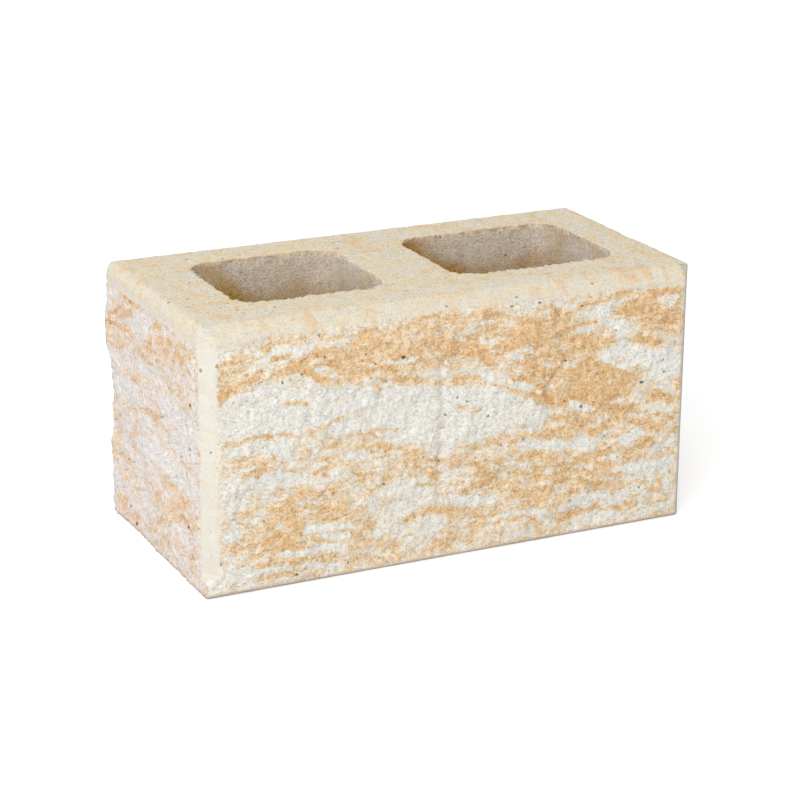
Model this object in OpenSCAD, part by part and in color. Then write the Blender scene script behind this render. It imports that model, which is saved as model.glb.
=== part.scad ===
// Split-face concrete block with two through cells.
// One casting: the front and the left end are split rough, the other faces are moulded.
// The origin is on the floor, under the middle of the block. X runs along the length,
// the split front face looks to -Y, and the cells run along Z.

/* [Block] */
// Length, from the crests of the split left end to the moulded right end
block_l = 400; // [340:5:480]
// Width, from the crests of the split front face to the moulded rear face
block_w = 200; // [180:5:260]
// Height as laid
block_h = 200; // [120:5:260]

/* [Walls at the top] */
// Front face shell, measured from the crests of the split face
front_shell = 54; // [40:1:65]
// Rear face shell
rear_shell = 33; // [20:1:45]
// Web at the split left end, measured from its crests
left_web = 52; // [40:1:60]
// Web between the two cells
middle_web = 55; // [30:1:65]
// Web at the moulded right end
right_web = 34; // [22:1:45]

/* [Cells] */
// Length of the cell beside the split end
left_cell_l = 120; // [90:1:130]
// Corner radius of both cells at the top
cell_corner = 21; // [12:1:28]
// How much each cell wall leans in from the top to the bottom
cell_draft = 2.5; // [0.5:0.5:5]

/* [Split faces] */
// How far the highest crests stand out past the planes of the face's own edges
relief = 3; // [1:0.5:5]
// Size of the broad lumps in the break
lump = 52; // [30:1:80]
// Size of the smaller lumps on them
small_lump = 23; // [16:1:32]
// Size of the chips on the small lumps
chip = 14; // [10:1:20]
// Strip along every edge over which the break calms down
calm_edge = 16; // [6:1:30]
// Spacing of the points that shape the break
facet = 7; // [6.5:0.5:16]
// Depth of the creases that run down the front face
crease_depth = 1.6; // [0:0.1:3]
// Half width of those creases
crease_w = 6; // [3:0.5:12]

/* [Moulded corners] */
// Leg of the chamfer between the two split faces
chamfer = 10; // [4:0.5:14]
// Height over the floor at which that chamfer stops
chamfer_stop = 17; // [6:1:40]
// Leg of the right end's chamfer along the front face
right_chamfer_front = 7.5; // [4:0.5:14]
// Leg of the right end's chamfer along that end
right_chamfer_end = 10; // [4:0.5:14]
// How far the top edge along the front leans back
front_bevel_in = 14; // [6:1:20]
// How far down the front face it starts
front_bevel_down = 10; // [4:1:16]
// How far the rounded top edge along the left end reaches in
left_bevel_in = 7; // [3:1:12]
// How far down the left end it starts
left_bevel_down = 12; // [4:1:18]
// Leg of the small chamfer under the front face
bottom_arris = 2.5; // [1:0.5:5]

/* [End groove] */
// Width of the shallow round groove down the right end
groove_w = 22; // [12:1:40]
// Depth of that groove
groove_d = 4; // [1:0.5:5]

/* [Hidden] */

// Planes through the edges of the two split faces
left_x = -block_l / 2 + relief;
front_y = -block_w / 2 + relief;

// Cell lengths along X and the faces that bound them at the top
left_cell_x = -block_l / 2 + left_web;
right_cell_x = left_cell_x + left_cell_l + middle_web;
right_cell_l = block_l / 2 - right_web - right_cell_x;
cell_y = -block_w / 2 + front_shell;
cell_w = block_w - front_shell - rear_shell;

// How far a cut runs past the surface that it opens
over = 5;
// Crown of a bevel: 1 is flat, 2 is a quarter ellipse
front_crown = 1.25;
left_crown = 2;
bevel_steps = 8;
// Share of the break's height that is left right at the edge of a split face
edge_share = 0.25;
// Weights of the small lumps and of the chips against the broad lumps
small_share = 0.45;
chip_share = 0.35;
// The creases of the front: each is a line of places, as shares of its length and height
creases = [
    [[0.715, 0.93], [0.708, 0.83], [0.73, 0.7], [0.69, 0.58], [0.705, 0.5]],
    [[0.47, 0.94], [0.475, 0.55], [0.468, 0.22]],
];
// Different numbers give the two faces different breaks
front_seed = 3;
left_seed = 41;
stone = [0.93, 0.87, 0.76];

// A repeatable number from 0 to 1 for a point of the grid
function scatter(i, j, seed) =
    let(s = sin(i * 127.1 + j * 311.7 + seed * 74.7) * 43758.5453)
    s - floor(s);

// Weight that eases from 0 to 1
function ease(t) = t * t * (3 - 2 * t);

// Smooth lumps of one size, from -1 to 1
function lumps(u, v, size, seed) =
    let(
        i = floor(u / size), j = floor(v / size),
        s = ease(u / size - i), t = ease(v / size - j),
        low = scatter(i, j, seed) * (1 - s) + scatter(i + 1, j, seed) * s,
        high = scatter(i, j + 1, seed) * (1 - s) + scatter(i + 1, j + 1, seed) * s
    )
    2 * (low * (1 - t) + high * t) - 1;

// 0 outside the face, rising to 1 inside the calm strip
function inside(d) = ease(min(1, max(0, d / calm_edge)));

// Height of the break at u along the face and v up it. The face ends at first and last
// along u, at the floor and at rim, and it calms down towards them
function break_at(u, v, first, last, rim, seed) =
    let(
        calm = min(inside(u - first), inside(last - u), inside(v), inside(rim - v)),
        raw = lumps(u, v, lump, seed) + small_share * lumps(u, v, small_lump, seed + 7)
            + chip_share * lumps(u, v, chip, seed + 13)
    )
    raw * (edge_share + (1 - edge_share) * calm);

// Distance from a point to the stretch from a to b
function off_line(point, a, b) =
    let(t = min(1, max(0, (point - a) * (b - a) / ((b - a) * (b - a)))))
    norm(point - a - t * (b - a));

// How far a crease pulls the face in at a point, which is given in millimetres
function crease_at(point, face_l, paths) =
    let(gaps = [for (path = paths) for (k = [1:len(path) - 1])
        off_line(
            point,
            [path[k - 1][0] * face_l, path[k - 1][1] * block_h],
            [path[k][0] * face_l, path[k][1] * block_h]
        )])
    len(gaps) == 0 ? 0 : crease_depth * ease(max(0, 1 - min(gaps) / crease_w));

// The space in front of a rough face, as one closed solid that runs from 0 to face_l
// along X. The face itself ends at first, last and rim. Its highest crest reaches exactly
// y = -relief, and y = 0 is the plane of its edges. paths are the creases across it
module break_cutter(face_l, first, last, rim, seed, paths = []) {
    nu = ceil(face_l / facet) + 2;
    nv = ceil(block_h / facet) + 2;
    du = face_l / (nu - 2);
    dv = block_h / (nv - 2);
    heights = [for (i = [0:nu]) [for (j = [0:nv])
        break_at((i - 1) * du, (j - 1) * dv, first, last, rim, seed)]];
    crest = max([for (row = heights) max(row)]);
    outer_y = -relief - over;
    rough = [for (i = [0:nu]) for (j = [0:nv])
        let(u = (i - 1) * du, v = (j - 1) * dv)
        [u, -relief * heights[i][j] / crest + crease_at([u, v], face_l, paths), v]];
    far_corners = [
        [-du, outer_y, -dv], [(nu - 1) * du, outer_y, -dv],
        [(nu - 1) * du, outer_y, (nv - 1) * dv], [-du, outer_y, (nv - 1) * dv]
    ];
    function at(i, j) = i * (nv + 1) + j;
    far = (nu + 1) * (nv + 1);
    first_half = [for (i = [0:nu - 1]) for (j = [0:nv - 1]) [at(i, j), at(i + 1, j), at(i + 1, j + 1)]];
    second_half = [for (i = [0:nu - 1]) for (j = [0:nv - 1]) [at(i, j), at(i + 1, j + 1), at(i, j + 1)]];
    under = concat([far, far + 1], [for (i = [nu:-1:0]) at(i, 0)]);
    above = concat([for (i = [0:nu]) at(i, nv)], [far + 2, far + 3]);
    near_end = concat([for (j = [0:nv]) at(0, j)], [far + 3, far]);
    far_end = concat([for (j = [nv:-1:0]) at(nu, j)], [far + 1, far + 2]);
    outer = [far, far + 3, far + 2, far + 1];
    polyhedron(
        points = concat(rough, far_corners),
        faces = concat(first_half, second_half, [under, above, near_end, far_end, outer])
    );
}

// The split front face, which ends at a chamfer on each side
module front_break() {
    translate([-block_l / 2, front_y, 0])
        break_cutter(
            block_l, relief + chamfer, block_l - right_chamfer_front, block_h - front_bevel_down,
            front_seed, creases
        );
}

// The split left end, from the rear corner, where it breaks through the edge, to the chamfer
module left_break() {
    translate([left_x, block_w / 2, 0])
        rotate([0, 0, -90])
            break_cutter(
                block_w, -calm_edge, block_w - relief - chamfer, block_h - left_bevel_down, left_seed
            );
}

// A cell with round corners that narrows towards the floor, open at both ends
module cell(x, length) {
    lean = cell_draft / block_h;
    hull()
        for (sx = [0, 1], sy = [0, 1])
            translate([
                x + cell_corner + sx * (length - 2 * cell_corner),
                cell_y + cell_corner + sy * (cell_w - 2 * cell_corner),
                -over
            ])
                cylinder(
                    h = block_h + 2 * over,
                    r1 = cell_corner - cell_draft - lean * over,
                    r2 = cell_corner + lean * over,
                    $fn = 32
                );
}

// Profile of what a bevel takes off: x goes into the block, y is the height. Under the
// bevel the cut falls away outwards, so that it trims the crests but leaves the break
module bevel_profile(reach, drop, crown) {
    rim = [for (k = [0:bevel_steps])
        let(a = 90 * k / bevel_steps)
        [reach * (1 - pow(cos(a), 2 / crown)), -drop * (1 - pow(sin(a), 2 / crown))]];
    proud = relief + over;
    polygon(concat([[-proud, over], [-proud, -drop - proud / 2]], rim, [[reach, over]]));
}

// The sloped top edge along the front, cut from end to end
module front_bevel() {
    translate([-block_l / 2 - over, front_y, block_h])
        rotate([90, 0, 90])
            linear_extrude(height = block_l + 2 * over)
                bevel_profile(front_bevel_in, front_bevel_down, front_crown);
}

// The rounded top edge along the left end
module left_bevel() {
    translate([left_x, block_w / 2 + over, block_h])
        rotate([90, 0, 0])
            linear_extrude(height = block_w + 2 * over)
                bevel_profile(left_bevel_in, left_bevel_down, left_crown);
}

// Chamfer cutter for a vertical corner that points to -X: its face is x = 0, and
// its lower end falls away outwards at 45 degrees
module chamfer_cutter(leg, bottom) {
    reach = leg + relief + over;
    translate([0, reach, bottom])
        rotate([90, 0, 0])
            linear_extrude(height = 2 * reach)
                polygon([
                    [0, 0], [0, block_h - bottom + over],
                    [-reach, block_h - bottom + over], [-reach, -reach]
                ]);
}

// Shallow round groove down the middle of the right end
module end_groove() {
    r = (groove_w * groove_w / 4 + groove_d * groove_d) / (2 * groove_d);
    translate([block_l / 2 - groove_d + r, (front_y + block_w / 2) / 2, -over])
        cylinder(h = block_h + 2 * over, r = r, $fn = 96);
}

// The small chamfer under the front edge
module bottom_edge() {
    translate([-block_l / 2 - over, front_y, 0])
        rotate([90, 0, 90])
            linear_extrude(height = block_l + 2 * over)
                polygon([
                    [-relief - over, bottom_arris + relief + over],
                    [-relief - over, -over], [bottom_arris + over, -over]
                ]);
}

module block() {
    color(stone)
    difference() {
        translate([-block_l / 2, -block_w / 2, 0])
            cube([block_l, block_w, block_h]);
        front_break();
        left_break();
        cell(left_cell_x, left_cell_l);
        cell(right_cell_x, right_cell_l);
        front_bevel();
        left_bevel();
        translate([left_x + chamfer / 2, front_y + chamfer / 2, 0])
            rotate([0, 0, 45])
                chamfer_cutter(chamfer, chamfer_stop);
        translate([block_l / 2 - right_chamfer_front / 2, front_y + right_chamfer_end / 2, 0])
            rotate([0, 0, 180 - atan(right_chamfer_front / right_chamfer_end)])
                chamfer_cutter(max(right_chamfer_front, right_chamfer_end), -over);
        end_groove();
        bottom_edge();
    }
}

block();
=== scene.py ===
"""Looks of the split-face concrete block: one closed skin over the CAD solid, one concrete.

Lengths in this script are millimetres in the CAD frame, and MM turns them into metres.
X runs along the block, the split front face looks to -Y, the split left end to -X.
"""

import math

import bmesh
import bpy
import numpy as np
from mathutils import Matrix, Vector
from mathutils.geometry import delaunay_2d_cdt
from mathutils.noise import fractal


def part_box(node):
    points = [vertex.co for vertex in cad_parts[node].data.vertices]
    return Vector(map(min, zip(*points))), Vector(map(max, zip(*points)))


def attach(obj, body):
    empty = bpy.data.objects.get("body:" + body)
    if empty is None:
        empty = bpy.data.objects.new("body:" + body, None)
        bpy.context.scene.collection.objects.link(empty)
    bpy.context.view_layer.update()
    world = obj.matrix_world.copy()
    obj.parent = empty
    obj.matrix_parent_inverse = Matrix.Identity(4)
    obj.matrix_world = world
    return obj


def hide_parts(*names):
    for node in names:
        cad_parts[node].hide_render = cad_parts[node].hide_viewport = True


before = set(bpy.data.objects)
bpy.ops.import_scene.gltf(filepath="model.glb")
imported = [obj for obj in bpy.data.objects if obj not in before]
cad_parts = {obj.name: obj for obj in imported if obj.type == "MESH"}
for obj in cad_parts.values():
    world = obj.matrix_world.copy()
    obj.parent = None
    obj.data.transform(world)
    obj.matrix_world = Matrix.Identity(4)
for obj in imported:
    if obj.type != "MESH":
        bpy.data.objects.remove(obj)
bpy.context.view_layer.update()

MM = 0.001
NODE = "block"
BODY = "root"

# Sizes of the block, as the CAD solid has them
low, high = (np.array(corner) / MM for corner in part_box(NODE))
RELIEF = 3.0
LEFT_X = low[0] + RELIEF
RIGHT_X = high[0]
FRONT_Y = low[1] + RELIEF
REAR_Y = high[1]
TOP_Z = high[2]
CHAMFER = 10.0
CHAMFER_STOP = 17.0
RIGHT_CHAMFER_FRONT, RIGHT_CHAMFER_END = 7.5, 10.0
FRONT_BEVEL_IN, FRONT_BEVEL_DOWN, FRONT_CROWN = 14.0, 10.0, 1.25
LEFT_BEVEL_IN, LEFT_BEVEL_DOWN, LEFT_CROWN = 7.0, 12.0, 2.0
BOTTOM_ARRIS = 2.5
GROOVE_W, GROOVE_D = 22.0, 4.0
CELL_CORNER, CELL_DRAFT = 21.0, 2.5
CELL_Y = (-46.0, 67.0)
CELLS_X = ((-148.0, -28.0), (27.0, 166.0))

# The broad break, which the CAD solid has too. The creases are shares of length and height
LUMP, SMALL_LUMP, CHIP, SMALL_SHARE, CHIP_SHARE = 52.0, 23.0, 14.0, 0.45, 0.35
CALM_EDGE, EDGE_SHARE, FACET = 16.0, 0.25, 7.0
FRONT_SEED, LEFT_SEED = 3, 41
CREASES = (
    ((0.715, 0.93), (0.708, 0.83), (0.73, 0.7), (0.69, 0.58), (0.705, 0.5)),
    ((0.47, 0.94), (0.475, 0.55), (0.468, 0.22)),
)
CREASE_DEPTH, CREASE_W = 1.6, 6.0

# The front bevel narrows to this share over the last stretch before the right end
RIGHT_BEVEL_SHARE, RIGHT_BEVEL_NARROWS = 0.74, (150.0, 190.0)

# Where the break ends under the bevels, before its rim wanders, and how soft that rim is
FRONT_RIM, LEFT_RIM, RIM_EASE = 188.5, 185.5, 1.6
# How deep the crack is, and how far the highest crest stays inside the CAD solid's
CRACK_DEPTH, CREST_GAP = 1.6, 0.05
# Over which depths the looks of a moulded side turn into those of the top
CROWN_END, CROWN_START = 14, 9
# How dark the painted shade on the right chamfer is, which faces away from the light, as a mark, and
# how much stronger smears are on the front bevel
CHAMFER_SHADE, BEVEL_SMEAR = 3.8, 1.15

# The rims of the cells: how deep they are chipped, how far their teeth reach out, and how fast
# both fade out below
RIM_CHIPPED, TOOTH, LARGEST_TOOTH, TEETH_FADE, CHIPS_FADE = 12.0, 3.1, 2.5, 3.5, 3.0
# How strong the brown painted shadow behind the web is in the left cell, compared with the right one
LEFT_CELL_WEB_SHADOW = 0.4

# Spacing of the mesh
LEFT_COLUMNS, CHAMFER_COLUMNS, FRONT_COLUMNS, END_COLUMNS = 104, 8, 264, 6
COLUMNS = LEFT_COLUMNS + CHAMFER_COLUMNS + FRONT_COLUMNS + END_COLUMNS + 1
ROW_STEP = 1.42
BEVEL_ROWS = 12
CELL_STEP, WALL_STEP = 1.35, 5.6
FINE_DEPTHS = (0, 0.8, 1.7, 2.8, 4.2, 6.0, 8.4, 11.5)
TOP_STEP, BASE_STEP, PLAIN_STEP, EDGE_STEP = 2.3, 4.6, 4.4, 2.0
BORDER_ROWS, BASE_BORDER_ROWS = (1.0, 2.6), (1.5,)
SMALLEST_LEG = 1.2
CORNER_BULGE, BULGE_LEG = 0.07, 3.0
WELD = 1e-4

# What the material reads at each point of the mesh, with its value on a plain moulded face.
# split: 1 on a broken face. marble: -1 white to 1 orange. shell: 1 where the mould left
# smooth slurry. shade: 1 deep in a cell. damp and shadow: 1 where a cell is brown, in random
# patches and as painted shade low down and a painted shadow behind the left web. speck: 1 on a
# dark grain. cavity shade: painted shade, 1 in a hollow and in the crack, more on the right
# chamfer, which faces away from the light, and a little on the moulded bevels. side: 1 on the
# split left end, which is a little pinker. drift: how far the run of the mix is bent up, in millimetres.
MARKS = {
    "split": 0.0, "side": 0.0, "marble": -1.0, "shell": 0.0, "shade": 0.0, "damp": 0.0, "speck": 0.0,
    "cavity": 0.0, "drift": 0.0,
}


def ease(t):
    return t * t * (3 - 2 * t)


def step(value, start, end):
    """0 up to start, 1 from end on, eased between."""
    return ease(np.clip((value - start) / (end - start), 0, 1))


def rough(points, size, seed, octaves=1, basis="PERLIN_ORIGINAL"):
    """Repeatable noise about 0 at 3-D points, with lumps of the given size."""
    shift = Vector((seed * 17.31, seed * 5.17, seed * 9.73))
    scaled = np.asarray(points) / size
    return np.array([
        fractal(Vector(p) + shift, 1.0, 2.0, octaves, noise_basis=basis) for p in scaled
    ])


def scatter(i, j, seed):
    """A repeatable value from 0 to 1 for each corner of a grid, as the CAD source makes it."""
    s = np.sin(np.radians(i * 127.1 + j * 311.7 + seed * 74.7)) * 43758.5453
    return s - np.floor(s)


def lumps(u, v, size, seed):
    """Smooth noise from -1 to 1 on a grid of the given size, as the CAD source makes it."""
    i, j = np.floor(u / size), np.floor(v / size)
    s, t = ease(u / size - i), ease(v / size - j)
    lower = scatter(i, j, seed) * (1 - s) + scatter(i + 1, j, seed) * s
    upper = scatter(i, j + 1, seed) * (1 - s) + scatter(i + 1, j + 1, seed) * s
    return 2 * (lower * (1 - t) + upper * t) - 1


def broad_break(u, v, face_l, first, last, rim, seed):
    """Height of the CAD solid's broad break at u along the face and v up it."""
    def raw(a, b):
        edges = np.stack([a - first, last - a, b, rim - b])
        calm = ease(np.clip(edges / CALM_EDGE, 0, 1)).min(axis=0)
        shape = (
            lumps(a, b, LUMP, seed) + SMALL_SHARE * lumps(a, b, SMALL_LUMP, seed + 7)
            + CHIP_SHARE * lumps(a, b, CHIP, seed + 13)
        )
        return shape * (EDGE_SHARE + (1 - EDGE_SHARE) * calm)

    columns = math.ceil(face_l / FACET)
    rows = math.ceil(TOP_Z / FACET)
    grid = np.meshgrid(
        np.arange(-1, columns + 2) * face_l / columns,
        np.arange(-1, rows + 2) * TOP_Z / rows,
    )
    return RELIEF * raw(u, v) / raw(*grid).max()


def crease_pull(u, v, face_l):
    """How far the creases pull the front in at u along it and v up it."""
    gap = np.full(len(u), np.inf)
    for path in CREASES:
        places = np.array(path) * (face_l, TOP_Z)
        for start, end in zip(places, places[1:]):
            gap = np.minimum(gap, off_line(u, v, start, end)[0])
    return CREASE_DEPTH * ease(np.clip(1 - gap / CREASE_W, 0, 1))


def off_line(across, up, start, end):
    """Distance of points to the stretch from start to end, and the share of it where they are."""
    run_across, run_up = end[0] - start[0], end[1] - start[1]
    share = ((across - start[0]) * run_across + (up - start[1]) * run_up) / (run_across ** 2 + run_up ** 2)
    share = np.clip(share, 0, 1)
    return np.hypot(across - start[0] - share * run_across, up - start[1] - share * run_up), share


def bevel_inset(below_top, reach, drop, crown):
    """How far in a bevel lies at some depth below the top."""
    rise = np.clip(1 - below_top / drop, 0, 1) ** (crown / 2)
    return reach * (1 - np.sqrt(1 - rise ** 2) ** (2 / crown))


class Skin:
    """Collects patches of the surface and welds them into one closed mesh."""

    def __init__(self):
        self.points, self.faces, self.pushes, self.marks = [], [], [], []
        self.count = 0

    def add(self, points, faces, push=None, **marks):
        """push is a direction into the block for each point, zero on the patch's borders.
        marks are the values from MARKS that the material reads."""
        count = len(points)
        self.points.append(np.asarray(points, float))
        self.faces.append(np.asarray(faces, int) + self.count)
        self.pushes.append(np.zeros_like(points) if push is None else push)
        columns = [np.broadcast_to(marks.get(name, default), count) for name, default in MARKS.items()]
        self.marks.append(np.column_stack(columns))
        self.count += count

    def paint(self, marks_of):
        """Replaces marks of the patch that was added last by those of a function of the place."""
        for name, values in marks_of(self.points[-1]).items():
            self.marks[-1][:, list(MARKS).index(name)] = values

    def weld(self):
        """Points, faces, pushes and marks with the patches joined along their borders."""
        points = np.concatenate(self.points)
        faces = np.concatenate(self.faces)
        keys = np.round(points / WELD).astype(np.int64)
        _, first, index = np.unique(keys, axis=0, return_index=True, return_inverse=True)
        index = index.ravel()
        pushes = np.zeros((len(first), 3))
        np.add.at(pushes, index, np.concatenate(self.pushes))
        marks = np.full((len(first), len(MARKS)), -np.inf)
        np.maximum.at(marks, index, np.concatenate(self.marks))
        faces = index[faces]
        whole = (faces != np.roll(faces, 1, axis=1)).all(axis=1)
        return points[first], faces[whole], pushes, dict(zip(MARKS, marks.T))


def grid_faces(rows, columns):
    """Two triangles for each cell of a grid of points stored row by row."""
    a = (np.arange(rows - 1)[:, None] * columns + np.arange(columns - 1)).ravel()
    b, c, d = a + 1, a + columns, a + columns + 1
    turned = ((a // columns + a % columns) % 2 == 0)[:, None]
    one = np.where(turned, np.stack([a, b, d], 1), np.stack([a, b, c], 1))
    two = np.where(turned, np.stack([a, d, c], 1), np.stack([b, d, c], 1))
    return np.concatenate([one, two])


def sheet_rows():
    """Heights of the horizontal slices of the split sheet."""
    lower = np.array([0.0, BOTTOM_ARRIS / 2])
    top_of_face = TOP_Z - LEFT_BEVEL_DOWN
    count = round((top_of_face - BOTTOM_ARRIS) / ROW_STEP)
    middle = np.linspace(BOTTOM_ARRIS, top_of_face, count + 1)
    turn = np.linspace(0, math.pi / 2, BEVEL_ROWS + 1)[1:]
    return np.concatenate([lower, middle, TOP_Z - LEFT_BEVEL_DOWN * (1 - np.sin(turn))])


def sheet_slice(z):
    """Plan of the split sheet at one height: left end, chamfer, front, right chamfer."""
    below = TOP_Z - z
    left_in = bevel_inset(below, LEFT_BEVEL_IN, LEFT_BEVEL_DOWN, LEFT_CROWN)
    front_in = bevel_inset(below, FRONT_BEVEL_IN, FRONT_BEVEL_DOWN, FRONT_CROWN)
    front_in += max(0, BOTTOM_ARRIS - z)
    leg = np.clip(CHAMFER - math.sqrt(2) * (CHAMFER_STOP - z), 0, CHAMFER)
    left_leg = max(leg, left_in + front_in + SMALLEST_LEG)
    right_in = RIGHT_BEVEL_SHARE * front_in
    right_leg = max(RIGHT_CHAMFER_END, right_in + SMALLEST_LEG)
    right_slope = RIGHT_CHAMFER_FRONT / RIGHT_CHAMFER_END
    x, y = LEFT_X + left_in, FRONT_Y + front_in
    stops = [
        ((x, REAR_Y), LEFT_COLUMNS),
        ((x, FRONT_Y + left_leg - left_in), CHAMFER_COLUMNS),
        ((LEFT_X + left_leg - front_in, y), FRONT_COLUMNS),
        ((RIGHT_X - (right_leg - right_in) * right_slope, y), END_COLUMNS),
        ((RIGHT_X, FRONT_Y + right_leg), 0),
    ]
    plan = [
        np.array(a) + (np.array(b) - a) * (k / count)
        for (a, count), (b, _) in zip(stops, stops[1:])
        for k in range(count)
    ]
    plan = np.array(plan + [stops[-1][0]])
    front = slice(LEFT_COLUMNS + CHAMFER_COLUMNS, -END_COLUMNS)
    plan[front, 1] -= (front_in - right_in) * step(plan[front, 0], *RIGHT_BEVEL_NARROWS)
    corner = slice(len(plan) - END_COLUMNS - 1, len(plan))
    inner_edge = plan[-END_COLUMNS - 1] * (1, 0) + (0, FRONT_Y + right_in)
    plan[corner] = np.linspace(inner_edge, plan[-1], END_COLUMNS + 1)
    for first, count, leg, way in (
        (LEFT_COLUMNS, CHAMFER_COLUMNS, left_leg - left_in - front_in, -1),
        (LEFT_COLUMNS + CHAMFER_COLUMNS + FRONT_COLUMNS, END_COLUMNS, right_leg - right_in, 1),
    ):
        t = np.linspace(0, 1, count + 1)
        bulge = CORNER_BULGE * min(leg, BULGE_LEG) * 4 * t * (1 - t)
        plan[first:first + count + 1] += bulge[:, None] * (way, -1)
    return plan


def add_split_sheet(skin):
    """The two split faces with their chamfers and bevels. Returns the grid of points."""
    heights = sheet_rows()
    grid = np.array([
        np.column_stack([sheet_slice(z), np.full(COLUMNS, z)]) for z in heights
    ])
    flat = grid.reshape(-1, 3)
    moved, marks = break_sheet(flat)
    skin.add(moved, grid_faces(*grid.shape[:2]), **marks)
    return moved.reshape(grid.shape)


def split_masks(points):
    """How far each point of the sheet belongs to the split front and to the split left end."""
    x, y, z = points.T
    wander = 1.6 * rough(points, 9, 11) + 0.9 * rough(points, 3.5, 12)
    # The rim of the front is highest in the middle and lowest at its left end
    rim = FRONT_RIM + 2.5 * step(x, -185, -120) - 2.5 * step(x, 90, 180) - 4 * (1 - step(x, -190, -150))
    front = step(rim + wander - z, 0, RIM_EASE) * (y < FRONT_Y + RELIEF) * step(z, 1.5, 3.5)
    # Above its stop the left chamfer is moulded, and the break keeps off it
    free = CHAMFER + 1.2 * wander - 0.4
    stop = CHAMFER_STOP - 1 + 1.5 * wander
    over_stop = step(z - stop, -2, 1)
    reach = 1 - over_stop * (1 - step(x - LEFT_X - free, 0, RIM_EASE))
    reach_right = step(RIGHT_X - RIGHT_CHAMFER_FRONT - x + 0.5 * wander, -0.4, 1.0)
    front = front * reach * reach_right
    left = step(LEFT_RIM + wander - z, 0, RIM_EASE) * (x < LEFT_X + 1)
    left = left * (1 - over_stop * (1 - step(y - FRONT_Y - free, 0, RIM_EASE)))
    return front, left


def break_sheet(points):
    """Moves the points of the sheet in by the relief of the break. Returns them and their marks."""
    x, y, z = points.T
    front, left = split_masks(points)
    on_left = x < LEFT_X + 1
    warped = warp(points)
    gaping = np.clip(0.5 + 1.3 * rough(points, 6, 48), 0, 1)
    crack = np.clip(streaks(warped[:, 0], warped[:, 2], FRONT_CRACKS) + 0.2, 0, 1) * gaping * ~on_left
    fine = fine_break(points) - CRACK_DEPTH * crack
    length, width = high[0] - low[0], high[1] - low[1]
    u, v = x - low[0], high[1] - y
    front_h = broad_break(u, z, length, RELIEF + CHAMFER, length - RIGHT_CHAMFER_FRONT,
                          TOP_Z - FRONT_BEVEL_DOWN, FRONT_SEED)
    left_h = broad_break(v, z, width, -CALM_EDGE, width - RELIEF - CHAMFER,
                         TOP_Z - LEFT_BEVEL_DOWN, LEFT_SEED)
    front_h -= crease_pull(u, z, length)
    out = points.copy()
    out[:, 1] -= front * settle(front_h + fine)
    out[:, 0] -= left * settle(left_h + fine)
    out[:, 1] = np.maximum(out[:, 1], FRONT_Y + BOTTOM_ARRIS - z)

    split = np.maximum(front, left)
    crown = moulded_marks(points)
    rising = step(z, TOP_Z - CROWN_END, TOP_Z - CROWN_START)
    # Painted shade on the right chamfer, which faces away from the light, and a little darkening of the
    # moulded bevels
    wear_and_shade = np.where(x > RIGHT_X - RIGHT_CHAMFER_FRONT, CHAMFER_SHADE, 0.3 * rising)
    across = np.where(on_left, y, x)
    specks = np.where(on_left, spots(across, z, LEFT_SPECKS), spots(across, z, FRONT_SPECKS))
    marble = sheet_marble(points, warped, on_left)
    marks = {
        "split": split, "marble": split * marble + (1 - split) * rising * crown["marble"],
        "side": split * on_left,
        "speck": specks * split,
        "shell": (1 - split) * ((1 - rising) + rising * crown["shell"]),
        # Painted shade in the hollows and the crack, and on the right chamfer and the bevels
        "cavity": split * (np.clip(-fine, 0, 2) / 2 + 0.7 * crack) + (1 - split) * wear_and_shade,
        "drift": bend(points),
    }
    return out, marks


def sheet_marble(points, warped, on_left):
    """Colour of the mix on both split faces, from -1, white, to 1, orange."""
    x, y, z = points.T
    left = marbling(
        warped[:, 1], warped[:, 2], points, LEFT_PLAIN, LEFT_CONTRAST,
        LEFT_MIXED, LEFT_WHITE, LEFT_ORANGE,
    )
    front = marbling(
        warped[:, 0], warped[:, 2], points, FRONT_PLAIN, FRONT_CONTRAST,
        FRONT_MIXED, FRONT_WHITE, FRONT_ORANGE, FRONT_HOLES,
    )
    marble = np.where(on_left, left, front)
    across = np.where(on_left, y, x)
    up = z + 1.6 * rough(points, 5, 49)
    nudge = np.where(
        on_left,
        dashes(across, up, LEFT_WARMER) - dashes(across, up, LEFT_PALER),
        dashes(across, up, FRONT_WARMER) - dashes(across, up, FRONT_PALER),
    )
    veins = step(depth_in(across, up, FRONT_VEINS), -1.2, 1.2) * ~on_left
    return np.clip(marble + TOUCH * nudge - VEIN * veins, -1, 1)


# The coloured mix where no streak is placed: its mean colour, from -1, white, to 1, orange, and
# its spread. Then how far a last touch shifts the colour, and how far a vein whitens it
FRONT_PLAIN, FRONT_CONTRAST = -0.15, 1.0
LEFT_PLAIN, LEFT_CONTRAST = -0.36, 0.65
TOUCH, VEIN = 0.55, 0.9
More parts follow.
